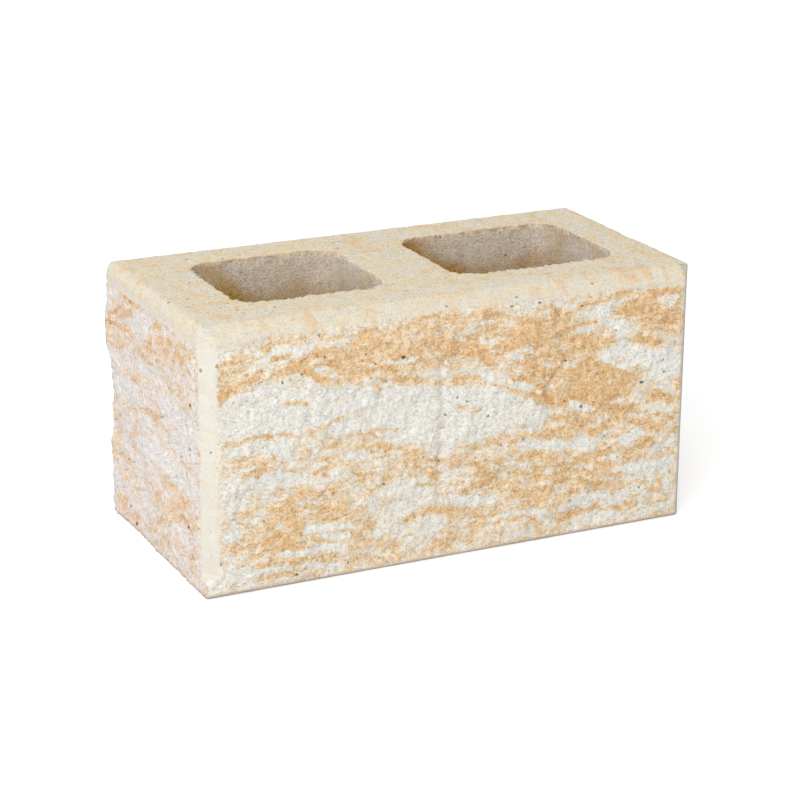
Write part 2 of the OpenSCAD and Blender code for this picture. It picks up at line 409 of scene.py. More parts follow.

# The coloured mix, placed one by one. Each streak is a line of places across and up the face,
# each with the streak's half width there. The front's are in x and z, the left end's in y and z
FRONT_MIXED = (
    ((-184, 168, 4), (-160, 168, 4)), ((-105, 184, 3), (-60, 183, 3), (-10, 184, 3), (40, 184, 5)),
    ((-60, 179, 4), (-10, 179, 5)), ((-152, 179, 3), (-118, 181, 3)), ((8, 166, 8), (60, 166, 11)),
    ((92, 164, 7), (108, 164, 6)), ((115, 156, 4), (130, 156, 4)), ((60, 148, 7), (85, 146, 7)),
    ((88, 147, 6), (128, 147, 5)), ((88, 112, 8), (112, 108, 8)), ((55, 138, 5), (80, 130, 6)),
    ((40, 150, 6), (66, 138, 8)), ((52, 130, 6), (62, 134, 6)), ((-100, 150, 4), (-68, 148, 5)),
    ((-58, 143, 3), (-35, 141, 3)), ((-4, 152, 4), (14, 153, 4)), ((135, 188, 4), (165, 190, 4)),
    ((160, 178, 4), (176, 180, 4)), ((184, 172, 4), (190, 172, 4)), ((182, 130, 4), (189, 132, 4)),
    ((130, 104, 6), (142, 106, 5)), ((150, 163, 6), (188, 156, 6)), ((140, 186, 4), (185, 184, 5)),
    ((160, 100, 5), (190, 98, 7)), ((90, 90, 5), (110, 88, 6)), ((112, 92, 8), (150, 90, 7)),
    ((26, 86, 3), (50, 78, 4), (110, 83, 4)), ((118, 98, 5), (126, 92, 4)), ((146, 88, 4), (160, 86, 5)),
    ((182, 68, 6), (190, 72, 6)), ((2, 76, 7), (30, 74, 9)), ((20, 56, 9), (60, 52, 10), (130, 46, 12)),
    ((60, 68, 6), (112, 64, 6)), ((122, 68, 5), (140, 64, 5)), ((135, 54, 4), (158, 56, 3)),
    ((178, 54, 4), (188, 54, 5)), ((8, 34, 7), (40, 32, 7), (74, 34, 7), (140, 32, 6)),
    ((20, 14, 5), (50, 14, 4)), ((80, 18, 4), (108, 10, 5)), ((168, 28, 4), (180, 24, 5)),
    ((-168, 104, 3), (-155, 104, 3)), ((-166, 90, 5), (-140, 92, 5)), ((-66, 102, 5), (-52, 94, 5)),
    ((-138, 70, 6), (-112, 67, 6)), ((-20, 74, 4), (0, 72, 5)),
    ((-145, 56, 7), (-120, 54, 11), (-92, 54, 8)), ((-165, 44, 5), (-146, 44, 8), (-115, 46, 6)),
    ((-158, 34, 6), (-125, 34, 8), (-92, 34, 6)), ((-76, 31, 4), (-64, 30, 4)),
    ((-150, 22, 4), (-90, 20, 5), (-60, 24, 5)), ((-78, 38, 3), (-68, 36, 4)),
    ((-60, 14, 3), (-20, 12, 4), (0, 12, 4)), ((-48, 54, 4), (-34, 50, 4)), ((6, 50, 5), (26, 52, 6)),
    ((-150, 12, 3), (-70, 12, 3)),
)
FRONT_ORANGE = (
    ((-186, 147, 3.5), (-182, 155, 7), (-168, 160, 6), (-154, 165, 3.5)),
    ((-184, 172, 2.4), (-173, 176, 2.6), (-162, 174, 2), (-145, 179, 1.4)),
    ((-145, 175, 1.5), (-133, 172, 2), (-127, 168, 2)), ((-140, 164, 3.5), (-126, 166, 4.5)),
    ((-122, 165, 2), (-112, 166, 2.4)),
    ((-165, 180, 1.1), (-140, 184, 1.3), (-118, 187, 1.2), (-98, 188, 1)),
    ((-184, 167, 1.6), (-172, 168, 2)), ((-126, 167, 3.5), (-117, 171, 4), (-103, 173, 4.5), (-83, 172, 6)),
    ((-122, 162, 2.6), (-113, 158, 2.8), (-107, 153, 2.6), (-93, 152, 3.4), (-78, 150, 3)),
    ((-98, 167, 8), (-62, 170, 8)), ((-92, 159, 6), (-70, 155, 4.5)), ((-72, 155, 3), (-47, 156, 2.2)),
    ((-62, 168, 8), (-20, 168, 8), (0, 162, 7)), ((-46, 155, 1.6), (-28, 157, 2), (-12, 155, 4)),
    ((-60, 147, 2.6), (-46, 147, 3.6), (-30, 143, 3), (-10, 135, 0.9)),
    ((-42, 151, 2), (-25, 152, 2.6), (-10, 152, 2.4)), ((-65, 143, 2), (-63, 139, 2.8)),
    ((-10, 163, 6), (10, 159, 7), (23, 154, 5), (33, 144, 3)), ((9, 169, 3.5), (22, 170, 4)),
    ((24, 168, 3), (45, 169, 4), (58, 174, 5)), ((64, 122, 3), (69, 112, 3)), ((79, 118, 2), (82, 113, 2)),
    ((0, 186, 2), (35, 184, 2.5)), ((-60, 184, 1.4), (-20, 183, 1.6)), ((-10, 175, 2), (5, 175, 2)),
    ((-3, 136, 2), (3, 139, 2.6), (17, 137, 2)), ((35, 159, 5), (53, 163, 8), (65, 168, 9), (82, 172, 9)),
    ((84, 168, 5), (88, 160, 4)), ((62, 158, 5), (84, 158, 4)),
    ((45, 146, 3.6), (60, 143, 4), (74, 134, 5), (82, 128, 4)), ((70, 149, 3), (86, 143, 4)),
    ((47, 133, 1.6), (65, 127, 2.8), (72, 121, 4), (77, 111, 4.6), (84, 103, 3)),
    ((88, 150, 3), (105, 147, 5), (128, 147, 3)), ((46, 124, 2), (48, 122, 2)),
    ((58, 116, 2), (64, 118, 3)), ((1, 117, 1.8), (5, 115, 1.8)), ((16, 112, 1.6), (19, 111, 1.6)),
    ((88, 124, 8), (105, 128, 12), (122, 122, 12), (146, 118, 8)), ((105, 136, 4), (115, 137, 4)),
    ((88, 116, 6), (92, 106, 6)), ((94, 114, 6), (112, 112, 8), (128, 110, 8)),
    ((120, 112, 9), (142, 108, 6)), ((84, 97, 4), (100, 96, 5)),
    ((105, 107, 4), (123, 101, 6), (140, 94, 5), (153, 97, 3)), ((150, 117, 4), (157, 119, 2)),
    ((165, 103, 3), (184, 102, 3)), ((24, 91, 1.2), (45, 88, 1.4)),
    ((50, 88, 1.8), (63, 86, 2.6), (90, 84, 4), (103, 87, 5), (112, 92, 5)),
    ((115, 80, 3.6), (130, 83, 3.4)), ((140, 87, 4), (158, 81, 4), (168, 77, 6), (188, 82, 3.4)),
    ((145, 59, 3.6), (157, 65, 5), (167, 70, 4)), ((110, 60, 2.8), (122, 62, 3.8), (133, 67, 3.6)),
    ((88, 58, 3.6), (92, 56, 3.6)), ((72, 65, 2.4), (82, 63, 2.6)), ((100, 50, 3), (118, 47, 3.4)),
    ((62, 42, 2), (74, 40, 2.4)), ((118, 40, 3), (136, 34, 3)), ((14, 54, 3), (30, 55, 3.4), (44, 52, 2)),
    ((14, 70, 2.6), (24, 68, 3)), ((15, 83, 2.4), (19, 84, 2.4)), ((173, 35, 2.2), (178, 28, 2.2)),
    ((184, 37, 2), (186, 37, 2)), ((150, 18, 4), (154, 16, 4)),
    ((-10, 37, 3), (13, 32, 3.6), (28, 24, 2.6)), ((52, 38, 2.6), (72, 34, 3)),
    ((90, 14, 2.6), (107, 18, 2.4), (132, 18, 2), (143, 13, 2.2)),
    ((32, 22, 1.8), (52, 22, 1.8), (63, 20, 2), (73, 15, 1.6)),
    ((134, 172, 4), (150, 174, 8), (166, 170, 8), (184, 161, 7)), ((158, 163, 5), (172, 158, 5)),
    ((172, 183, 2), (188, 186, 2)), ((150, 190, 1.6), (166, 191, 2)), ((185, 174, 2.4), (188, 160, 4)),
    ((88, 176, 2.6), (107, 180, 3), (127, 185, 2.2), (150, 187, 1.8)),
    ((90, 158, 3.4), (107, 155, 5), (132, 152, 3.2)), ((150, 151, 2.4), (160, 147, 4), (170, 142, 2.6)),
    ((56, 139, 3), (62, 133, 3)), ((178, 152, 3), (184, 150, 3)),
    ((-186, 112, 0.9), (-167, 117, 1.2), (-150, 118, 1.2), (-146, 114, 1.8)),
    ((-138, 117, 1.1), (-131, 118, 1.1)), ((-115, 116, 1.8), (-103, 118, 2.1), (-90, 122, 1.2)),
    ((-88, 123, 1), (-78, 124, 0.8)), ((-135, 140, 1.1), (-120, 138, 1.6)),
    ((-119, 102, 2.2), (-117, 100, 2.2)),
    ((-108, 100, 2.2), (-93, 103, 1.6), (-83, 107, 1.1), (-53, 108, 1.3), (-48, 105, 1.6)),
    ((-94, 93, 0.9), (-83, 96, 1.2), (-73, 99, 2.4), (-58, 96, 2.4), (-33, 87, 2.6)),
    ((-182, 98, 1.5), (-167, 99, 1.5), (-150, 97, 3.2), (-145, 99, 2.4)),
    ((-186, 92, 1.2), (-184, 90, 1.2)), ((-160, 90, 1.5), (-158, 88, 1.5)),
    ((-134, 94, 1.2), (-133, 89, 1.2)), ((-112, 84, 2.4), (-100, 87, 2), (-80, 88, 1)),
    ((-104, 81, 2), (-101, 78, 2)), ((-86, 79, 1.8), (-70, 76, 1.6)), ((-50, 76, 1.5), (-25, 77, 1.8)),
    ((-39, 86, 2.4), (-35, 85, 2.4)), ((-22, 68, 2.2), (-12, 66, 2.4)),
    ((-176, 62, 1.2), (-165, 62, 2), (-157, 64, 1.4)), ((-141, 74, 1.4), (-136, 74, 1.4)),
    ((-131, 47, 2.2), (-117, 52, 3.4), (-97, 54, 3.2)), ((-156, 48, 2.6), (-144, 46, 3)),
    ((-108, 46, 2.6), (-83, 47, 3), (-73, 49, 2)), ((-134, 68, 2.4), (-132, 63, 2.4)),
    ((-170, 42, 1.8), (-164, 38, 1.8)), ((-158, 27, 2.6), (-145, 31, 3.6), (-126, 33, 3)),
    ((-143, 43, 2.4), (-140, 41, 2.4)), ((-128, 29, 2.2), (-107, 29, 1.7), (-85, 24, 1.7)),
    ((-173, 22, 1.6), (-157, 20, 2), (-148, 20, 1.6)),
    ((-122, 20, 2), (-107, 15, 2.6), (-83, 11, 1.8), (-62, 10, 1)),
    ((-162, 10, 1.6), (-145, 11, 1.7), (-120, 11, 1.4)), ((-72, 38, 2.2), (-62, 34, 2.4)),
    ((-54, 20, 2), (-49, 20, 2)), ((-40, 35, 1), (-23, 40, 3), (-8, 37, 3.4), (0, 31, 2.6)),
    ((-15, 15, 3), (-9, 12, 3)), ((-4, 58, 1.6), (6, 56, 2)), ((-6, 77, 2), (2, 73, 2.4)),
)
FRONT_WHITE = (
    ((-180, 134, 13), (-150, 138, 17), (-110, 130, 17), (-60, 124, 17), (-20, 118, 16),
     (20, 114, 16), (60, 106, 9)), ((-60, 110, 8), (0, 100, 10), (30, 98, 7)),
    ((-150, 108, 5), (-135, 106, 5)), ((-184, 82, 6), (-150, 82, 8), (-122, 82, 5)),
    ((-152, 176, 4), (-132, 180, 2)), ((-150, 166, 3), (-146, 168, 3)), ((-182, 44, 3), (-174, 46, 3)),
    ((-186, 18, 2.4), (-133, 15, 2)), ((-130, 23, 1.4), (-107, 25, 1.8), (-85, 19, 1.2)),
    ((-128, 14, 1.6), (-107, 9, 2.2), (-93, 6, 1.4)), ((-120, 41, 3.2), (-102, 41, 3.4)),
    ((-106, 34, 1.4), (-88, 31, 1.8)), ((-52, 58, 5), (-35, 54, 6), (-16, 50, 5)),
    ((-68, 52, 3), (-60, 56, 3)), ((-45, 44, 4), (-35, 38, 4)), ((-30, 26, 5), (-12, 27, 5)),
    ((-66, 28, 2), (-60, 30, 2)), ((-5, 44, 3), (12, 41, 3.4), (28, 39, 2)),
    ((94, 24, 3), (112, 27, 4), (132, 25, 3.4)), ((107, 11, 1.8), (136, 11, 2.4)),
    ((36, 14, 2), (50, 14, 2)), ((62, 26, 1.6), (74, 22, 1.6)), ((80, 14, 2), (84, 13, 2)),
    ((53, 81, 2), (70, 77, 3.2), (93, 73, 3.6), (117, 70, 2.4)), ((103, 80, 1.2), (115, 82, 1.2)),
    ((141, 69, 3.4), (158, 74, 3.2)), ((133, 80, 2), (137, 78, 2)), ((168, 58, 2), (187, 62, 2.2)),
    ((146, 48, 3.4), (172, 42, 4)), ((182, 48, 2.6), (183, 26, 3)), ((164, 93, 1.6), (188, 92, 2)),
    ((118, 176, 3.4), (132, 179, 2.6), (150, 182, 1.2)), ((110, 172, 2), (126, 173, 2.6)),
    ((126, 138, 4), (140, 141, 7), (160, 136, 7)), ((160, 134, 7), (186, 128, 8)),
    ((170, 118, 5), (187, 118, 4)), ((134, 164, 2.4), (150, 157, 2)), ((-10, 179, 1.2), (20, 179, 1.2)),
    ((-76, 45, 2), (-66, 43, 2.2)), ((50, 106, 8), (72, 98, 6)), ((-30, 100, 5), (10, 96, 5)),
)
# White patches and veins inside the orange
FRONT_HOLES = (
    ((-128, 176, 2), (-115, 179, 2.4)), ((-114, 161, 1.2), (-104, 162, 1.6)),
    ((-100, 155, 1.6), (-97, 154, 1.6)), ((-49, 159, 0.8), (-34, 160, 1.2)),
    ((-38, 153, 0.9), (-26, 155, 0.9)), ((56, 154, 1.6), (60, 153, 1.6)), ((41, 151, 2), (53, 149, 2.2)),
    ((72, 141, 1.6), (78, 138, 1.8)), ((50, 128, 2), (62, 122, 2.2)),
    ((96, 107, 1.4), (106, 103, 1.8), (114, 99, 1.2)), ((130, 101, 1.2), (143, 102, 1.2)),
    ((181, 177, 2.4), (181, 172, 2.4)), ((95, 163, 1), (112, 162, 1.2)), ((128, 136, 2), (134, 132, 1.6)),
    ((-4, 176, 0.8), (8, 174, 0.8)), ((-176, 157, 0.8), (-168, 156, 0.8)),
)
LEFT_ORANGE = (
    ((72, 184, 2.4), (45, 183, 2.6)), ((94, 162, 1.4), (80, 168, 2), (62, 173, 2), (50, 174, 1.4)),
    ((98, 154, 3), (80, 156, 2.4), (52, 158, 2.4)), ((75, 165, 1.4), (60, 167, 1.4)),
    ((54, 122, 2), (42, 122, 2)), ((34, 105, 2), (18, 106, 2.2), (-6, 109, 2)),
    ((-14, 104, 1), (-26, 105, 1)), ((92, 48, 2), (82, 50, 2)), ((50, 34, 1.6), (44, 36, 1.6)),
    ((0, 179, 1.4), (-14, 182, 1.6)), ((12, 157, 2.6), (-4, 160, 2.8)), ((-26, 171, 2.4), (-40, 177, 2.6)),
    ((-18, 164, 2), (-32, 167, 2.2)), ((-44, 172, 4), (-56, 166, 4.4)), ((-62, 173, 2.6), (-77, 178, 2)),
    ((-56, 161, 1.4), (-70, 164, 1.4)), ((-32, 156, 1.2), (-42, 157, 1.2)),
    ((-46, 145, 1.6), (-60, 146, 1.6)), ((-64, 148, 1.2), (-72, 150, 1)),
    ((-66, 137, 1.4), (-72, 137, 1.4)), ((-26, 137, 1.2), (-36, 139, 1.2)),
    ((-9, 132, 1.4), (-13, 132, 1.4)), ((-20, 64, 1.6), (-38, 66, 1.6)), ((-44, 60, 1.2), (-60, 62, 1.2)),
    ((-26, 43, 1.8), (-44, 45, 2.8), (-62, 47, 2.6)), ((-62, 42, 1.4), (-76, 48, 1.6)),
    ((2, 24, 1.6), (-14, 30, 1.8)), ((-66, 20, 1.6), (-74, 24, 1.6)), ((12, 5, 1.4), (0, 6, 1.2)),
    ((-90, 3, 2), (-97, 5, 2)), ((-16, 18, 1.4), (-26, 19, 1.4)),
)
LEFT_WHITE = (
    ((96, 108, 8), (40, 112, 8), (24, 95, 8)), ((40, 74, 6), (0, 80, 8), (-50, 80, 6)),
    ((96, 130, 5), (60, 132, 4)), ((-10, 122, 6), (-75, 120, 9)), ((-36, 102, 7), (-76, 102, 8)),
    ((96, 180, 3), (84, 178, 3)), ((28, 176, 5), (14, 174, 5)), ((54, 166, 3), (42, 166, 3)),
    ((34, 136, 4), (8, 138, 4)), ((-30, 72, 4), (-62, 72, 5), (-78, 76, 5)), ((70, 62, 3), (48, 56, 4)),
    ((92, 34, 4), (60, 26, 5), (26, 16, 4)), ((-34, 12, 3), (-62, 12, 4)), ((12, 58, 3), (-24, 56, 3)),
)
LEFT_MIXED = (
    ((94, 150, 7), (40, 151, 7)), ((84, 168, 4), (60, 170, 4)), ((-10, 168, 5), (-52, 170, 8)),
    ((66, 122, 5), (40, 122, 5)), ((6, 45, 4), (-66, 45, 7)), ((94, 50, 6), (80, 50, 5)),
    ((90, 18, 5), (50, 8, 6), (4, 19, 5)), ((0, 30, 4), (-24, 32, 4)), ((-10, 20, 4), (-26, 19, 4)),
    ((-44, 22, 4), (-75, 24, 4)), ((20, 157, 5), (-4, 158, 7)), ((28, 146, 4), (10, 145, 4)),
    ((-24, 161, 4), (-36, 163, 4)), ((-40, 142, 4), (-64, 144, 4)), ((42, 100, 4), (30, 101, 4)),
    ((-6, 87, 4), (-30, 87, 4)), ((-48, 88, 5), (-72, 90, 5)), ((97, 84, 5), (88, 82, 5)),
    ((52, 78, 4), (40, 79, 4)), ((-8, 70, 3), (-28, 70, 3)), ((-50, 178, 3), (-66, 178, 3)),
    ((0, 128, 4), (-12, 126, 3)),
)
# The crack of the front face and a small one below it, as lines of places with half widths
FRONT_CRACKS = (
    ((86, 185, 1.2), (83, 170, 1.5), (86, 160, 1.5), (92, 141, 1.8), (81, 127, 2), (76, 115, 1.8),
     (82, 105, 1.5)),
    ((103, 85, 1.4), (108, 105, 1.4)),
)
# White veins through the orange of the front, in the same form
FRONT_VEINS = (
    ((54, 82, 1.2), (70, 77, 2.6), (92, 73, 3.2), (118, 70, 2)), ((143, 70, 2.6), (156, 74, 3)),
    ((146, 47, 3), (176, 44, 4)), ((183, 46, 2.4), (184, 30, 2)), ((102, 28, 2), (130, 29, 3)),
    ((106, 11, 1.6), (140, 10, 2.2)), ((-114, 41, 2), (-84, 39, 2)), ((-108, 34, 1.6), (-90, 32, 1.8)),
    ((-128, 24, 1.2), (-100, 25, 1.6), (-74, 22, 0.8)), ((-120, 15, 1.6), (-90, 8, 1.2)),
    ((-166, 16, 1.6), (-132, 14, 1.2)), ((-2, 46, 2.4), (15, 42, 2.6), (36, 40, 1.2)),
    ((40, 27, 1.2), (76, 23, 1.4)), ((46, 127, 1.6), (62, 123, 2.4), (68, 119, 1.2)),
    ((120, 178, 2), (126, 166, 2.4), (138, 158, 1.8)), ((-156, 178, 1.4), (-122, 179, 2)),
    ((96, 105, 1.2), (106, 100, 2)),
)
# Last touches to the layout, each a short level streak: its middle across and up the face, its
# reach to either side and its half width. Where only the middle is given the size is DASH
DASH = (3, 3)
FRONT_PALER = (
    (-183, 106, 7, 6), (-178, 180.5, 6, 2.5), (-160, 181, 4, 2.5), (-118, 175, 3, 2.5), (-100, 97),
    (-70, 83, 9, 3), (-128, 92), (-136, 74, 9, 3), (-65, 70), (-170, 55, 4, 3), (-140, 55, 6, 3),
    (-184.5, 60, 4.5, 4), (-184.5, 28, 4.5, 4), (-115, 38), (-95, 40), (-58, 187, 3, 2), (-68, 146),
    (40, 129, 4, 3.5), (33, 148), (13, 147, 4, 3.5), (-15, 145, 4, 3.5), (35, 172), (48, 178),
    (68, 90, 4, 3), (45, 90), (25, 90, 4, 3), (-4, 84, 4, 3), (-50, 97, 4, 3.5), (3, 52), (-32, 45),
    (152, 25, 6, 6), (185, 22, 3, 4), (90, 36), (42, 27), (60, 27), (-190, 8, 2, 4), (-28, 8), (-15, 18),
    (12, 16), (172, 152), (127, 73), (112, 55), (142, 52), (140, 155), (102, 173), (-60, 27), (180, 89),
    (-177.5, 14, 12.5, 3.5), (-130, 24, 8, 3), (-144.5, 69, 5.5, 4), (-171, 66, 7, 4), (-29, 16, 11, 6),
    (-110, 37, 4, 2.5), (145, 81, 3, 2), (167, 42, 4, 2.5), (-56, 168, 4, 3), (1, 81, 11, 2.5),
    (85, 100, 5, 2.5), (37, 170, 3, 2.5), (-90, 77, 6, 3), (-32, 64, 6, 2.5), (89, 68, 9, 2),
    (69, 57, 7, 2.5), (32, 9, 4, 2.5),
)
FRONT_WARMER = (
    (67, 148, 6, 6), (133, 168), (102.5, 164, 5.5, 3), (155, 185, 19, 5), (70, 182), (-20, 180, 4, 3),
    (115, 138), (149, 146, 4, 3), (83, 133), (68, 133), (52, 131), (68, 118), (82, 113), (90, 95), (84, 85),
    (92, 63, 6, 6), (45, 75), (52, 62), (-30, 68), (-35, 77), (-128, 65), (-70, 60), (-70, 104), (-60, 96),
    (-12, 35), (-35, 33), (0, 30), (75, 27), (78, 10, 6, 5), (95, 12), (110, 15), (37, 45), (120, 95),
    (152, 93), (168, 98), (170, 85), (110, 82), (185, 110, 3, 5), (186, 55), (-178, 152), (-120, 157),
    (-160, 26), (-148, 168), (-170, 172), (127, 60), (-144, 180, 5, 2), (-107, 154, 6, 3), (-55, 151, 4, 3),
    (-30, 155, 4, 2.5), (15, 153, 5, 3), (7.5, 165, 7.5, 3), (75, 182, 6, 2.5), (140, 168, 4, 3),
    (155, 148, 4, 3), (127, 124, 3, 4), (167.5, 110, 7.5, 3), (85, 105, 4, 3), (40, 70, 3, 4),
    (105, 18, 4, 2.5), (101, 34, 3, 2.5), (-80, 75), (-105, 65, 4, 4), (-59, 90, 5, 3), (-30, 85),
    (4, 71, 4, 3),
)
LEFT_PALER = (
    (96.5, 168, 2.5, 4), (78, 152), (55, 126, 5, 3.5), (0, 125, 3, 5), (-18, 110), (-48.5, 93, 13.5, 3),
    (-68, 85), (-40, 143), (-65, 145), (5, 45), (-20, 48), (-60, 28), (65, 13, 5, 3), (42, 8), (0, 12),
    (50, 53), (42, 42), (63, 127, 5, 3), (90.5, 87, 4.5, 3),
)
LEFT_WARMER = (
    (78, 163), (55, 170), (80, 136, 6, 6), (43, 129, 7, 3), (42, 130), (5, 168), (-30, 173), (-62, 168),
    (-15, 152), (5, 148), (10, 103), (40, 185, 18, 2.5), (-24, 56, 34, 5), (68, 52), (68, 35),
    (42.5, 26, 6.5, 3), (-45, 16), (-65, 13), (50, 26, 12, 5), (-5, 178, 7, 3),
)
# Faint smears of the mix on the top and its bevels: x, y, reach along x, reach along y, strength
SMEARS = (
    (-162, -91, 4, 8, 0.5), (-147, -91, 3, 8, 0.4), (-113, -91, 6, 9, 0.8), (-95, -92, 4, 8, 0.4),
    (-65, -91, 5, 9, 0.5), (-28, -92, 4, 8, 0.4), (0, -91, 6, 8, 0.5), (30, -93, 5, 6, 0.4),
    (65, -92, 6, 8, 0.5), (88, -91, 5, 9, 0.6), (118, -92, 4, 7, 0.4), (147, -84, 9, 13, 0.9),
    (163, -84, 7, 13, 0.8), (178, -90, 4, 9, 0.4), (-171, 74, 7, 4, 0.8), (-190, 74, 5, 9, 0.5),
    (-190, 35, 5, 10, 0.5), (-186, 10, 6, 7, 0.5), (-175, 4, 5, 4, 0.4), (-165, -36, 6, 4, 0.5),
    (-150, -52, 7, 3, 0.5), (-4, 74, 8, 14, 0.8), (8, -50, 9, 3, 0.5), (26, -61, 9, 3, 0.5),
    (125, 71, 9, 3, 0.5), (160, 75, 9, 4, 0.5), (171, 60, 4, 6, 0.4), (176, 18, 4, 9, 0.4),
    (171, -6, 4, 7, 0.4), (-80, 69, 14, 2.5, 0.6), (80, 70, 20, 2.5, 0.4), (-60, 88, 20, 4, 0.3),
    (60, 90, 25, 4, 0.3), (-100, -60, 25, 5, 0.25), (90, -62, 30, 5, 0.25), (182, -40, 5, 16, 0.3),
)
# Dark grains: across, up and radius
FRONT_SPECKS = (
    (-138, 156, 1.2), (-44, 162, 1.8), (-66, 160, 1.2), (-105, 170, 1.3), (-128, 8, 1.6), (9, 120, 1.1),
    (27, 106, 1.2), (79, 127, 1.1), (92, 140, 1.2), (104, 181, 1.2), (152, 189, 1), (158, 114, 1.7),
    (177, 120, 1), (106, 102, 1.7), (100, 8, 1.1), (68, 188, 1), (45, 188, 1), (134, 158, 1), (64, 47, 1),
    (116, 104, 1.1),
)
LEFT_SPECKS = (
    (47, 182, 1.5), (25, 148, 2), (52, 5, 1.9), (64, 15, 1.6), (65, 53, 1.3), (90, 23, 1.5),
    (-53, 186, 1.8), (-57, 158, 1.5), (-68, 138, 1.6), (-65, 104, 1.7), (-60, 43, 2.4), (-74, 24, 1.5),
    (-24, 137, 1.3), (-22, 16, 1.3), (-46, 92, 1.4), (-8, 110, 1.4),
)


def warp(points):
    """Points wandered by a few millimetres, so that streaks get the run of a real mix."""
    return points + np.column_stack([
        1.6 * rough(points, 13, 31 + axis) + 1.6 * rough(points, 5, 35 + axis) for axis in range(3)
    ])


def bend(points):
    """How far the run of the mix is bent up, in millimetres. It climbs along the left end."""
    return 10 * rough(points * (1, 1, 0.7), 42, 46) - 0.35 * (points[:, 1] - FRONT_Y)


def stretches(across, up, lines):
    """For each stretch of some streaks, how far places lie off it and how wide half of it is there."""
    for line in lines:
        for start, end in zip(line, line[1:]):
            off, share = off_line(across, up, start, end)
            yield off, start[2] + share * (end[2] - start[2])


def streaks(across, up, lines):
    """1 in the middle of a streak, 0 at its edge, -1 well outside all of them."""
    best = np.full(len(across), -1.0)
    for off, half in stretches(across, up, lines):
        best = np.maximum(best, 1 - (off / half) ** 2)
    return best


def spots(across, up, places):
    """1 on the dark grains, 0 away from them."""
    dark = np.zeros(len(across))
    for x, z, radius in places:
        dark = np.maximum(dark, np.clip(1.6 - np.hypot(across - x, (up - z) * 1.4) / radius, 0, 1))
    return dark


def depth_in(across, up, lines):
    """How many millimetres a place lies inside the edge of a streak, negative outside them all."""
    best = np.full(len(across), -50.0)
    for off, half in stretches(across, up, lines):
        best = np.maximum(best, half - off)
    return best


def dashes(across, up, places):
    """1 inside short level streaks, 0 from a few millimetres outside them."""
    lines = []
    for x, z, *size in places:
        reach, half = size or DASH
        lines.append(((x - reach, z, half), (x + reach, z, half)))
    return step(depth_in(across, up, lines), -2.5, 2)


def marbling(across, up, points, plain, contrast, mixed, white, orange, holes=()):
    """Colour of the mix on a broken face, from -1, white, to 1, orange. plain is its mean where
    nothing else is, contrast its spread, and mixed, white, orange and holes are lists of
    streaks."""
    # The mix runs level but for its bend, so its noise is stretched along the faces
    flow = np.column_stack([0.4 * points[:, 0], 0.4 * points[:, 1], points[:, 2] - bend(points)])
    grain = rough(flow, 7, 41, 2)
    wave = rough(flow, 3.6, 42)
    # How far the edges of streaks stray, and over how far an orange one fades in, in millimetres
    ragged = 2.0 * rough(flow, 5, 44) + 1.4 * wave
    soft = np.clip(2.4 + 3.0 * rough(points, 20, 43), 1.0, 4.5)
    colour = plain + contrast * (0.9 * grain + 0.35 * wave)
    mixed_colour = plain + 0.45 + contrast * (0.85 * grain + 0.4 * wave)
    share = step(depth_in(across, up, mixed) + 2 * ragged, -4, 4)
    colour = colour + (np.maximum(colour, mixed_colour) - colour) * share
    colour = colour - 0.85 * step(depth_in(across, up, white) + ragged, -2.5, 3)
    strength = 0.35 + 0.35 * contrast + 0.5 * rough(flow, 8, 45) + 0.25 * wave
    streak = np.clip((depth_in(across, up, orange) + ragged) / soft, -1, 1)
    colour = np.maximum(colour, np.where(streak > 0, streak * strength, streak))
    if holes:
        colour = colour - 1.4 * step(depth_in(across, up, holes) + 0.7 * ragged, -1, 1.6)
    return np.clip(colour, -1, 1)


def moulded_marks(points):
    """Marks of the top and its bevels: smears of the mix, and slurry towards the outer edges."""
    moved = warp(points)
    smear = np.zeros(len(points))
    for x, y, reach_x, reach_y, strength in SMEARS:
        gap = ((moved[:, 0] - x) / reach_x) ** 2 + ((moved[:, 1] - y) / reach_y) ** 2
        smear = np.maximum(smear, strength * np.clip(1.3 - gap, 0, 1))
    smear = smear * np.where(points[:, 1] < FRONT_Y + FRONT_BEVEL_IN, BEVEL_SMEAR, 1.0)
    from_edge = np.minimum(points[:, 0] - LEFT_X - LEFT_BEVEL_IN, points[:, 1] - FRONT_Y - FRONT_BEVEL_IN)
    from_edge = from_edge + 4 * rough(points, 12, 51)
    shell = 0.45 * (1 - step(from_edge, -12, 12))
    blotches = 0.42 * rough(points, 11, 52, 2) + 0.2 * rough(points * (0.5, 1, 1), 4, 53)
    return {"marble": smear + blotches, "shell": shell}


def side_marks(points):
    """Marks of the rear and the right end: bands of the mix showing faintly through the slurry."""
    flow = np.column_stack([0.35 * points[:, :2], points[:, 2] - 6 * rough(points, 60, 91)])
    bands = 0.75 * rough(flow, 15, 92, 2) + 0.25 * rough(flow, 5, 93)
    return {"marble": bands, "shell": np.clip(0.7 - 0.5 * bands, 0.3, 1)}


def settle(height):
    """Bends heights so that no crest stands out past the CAD solid's."""
    limit = RELIEF - CREST_GAP
    return np.where(height > 1, 1 + (limit - 1) * np.tanh((height - 1) / (limit - 1)), height)


def terraces(height, rise, edge):
    """Heights bent into shelves with steep sides, as a break runs through a coarse mix."""
    level = height / rise
    return rise * (np.floor(level) + step(level - np.floor(level), 0.5 - edge, 0.5 + edge))


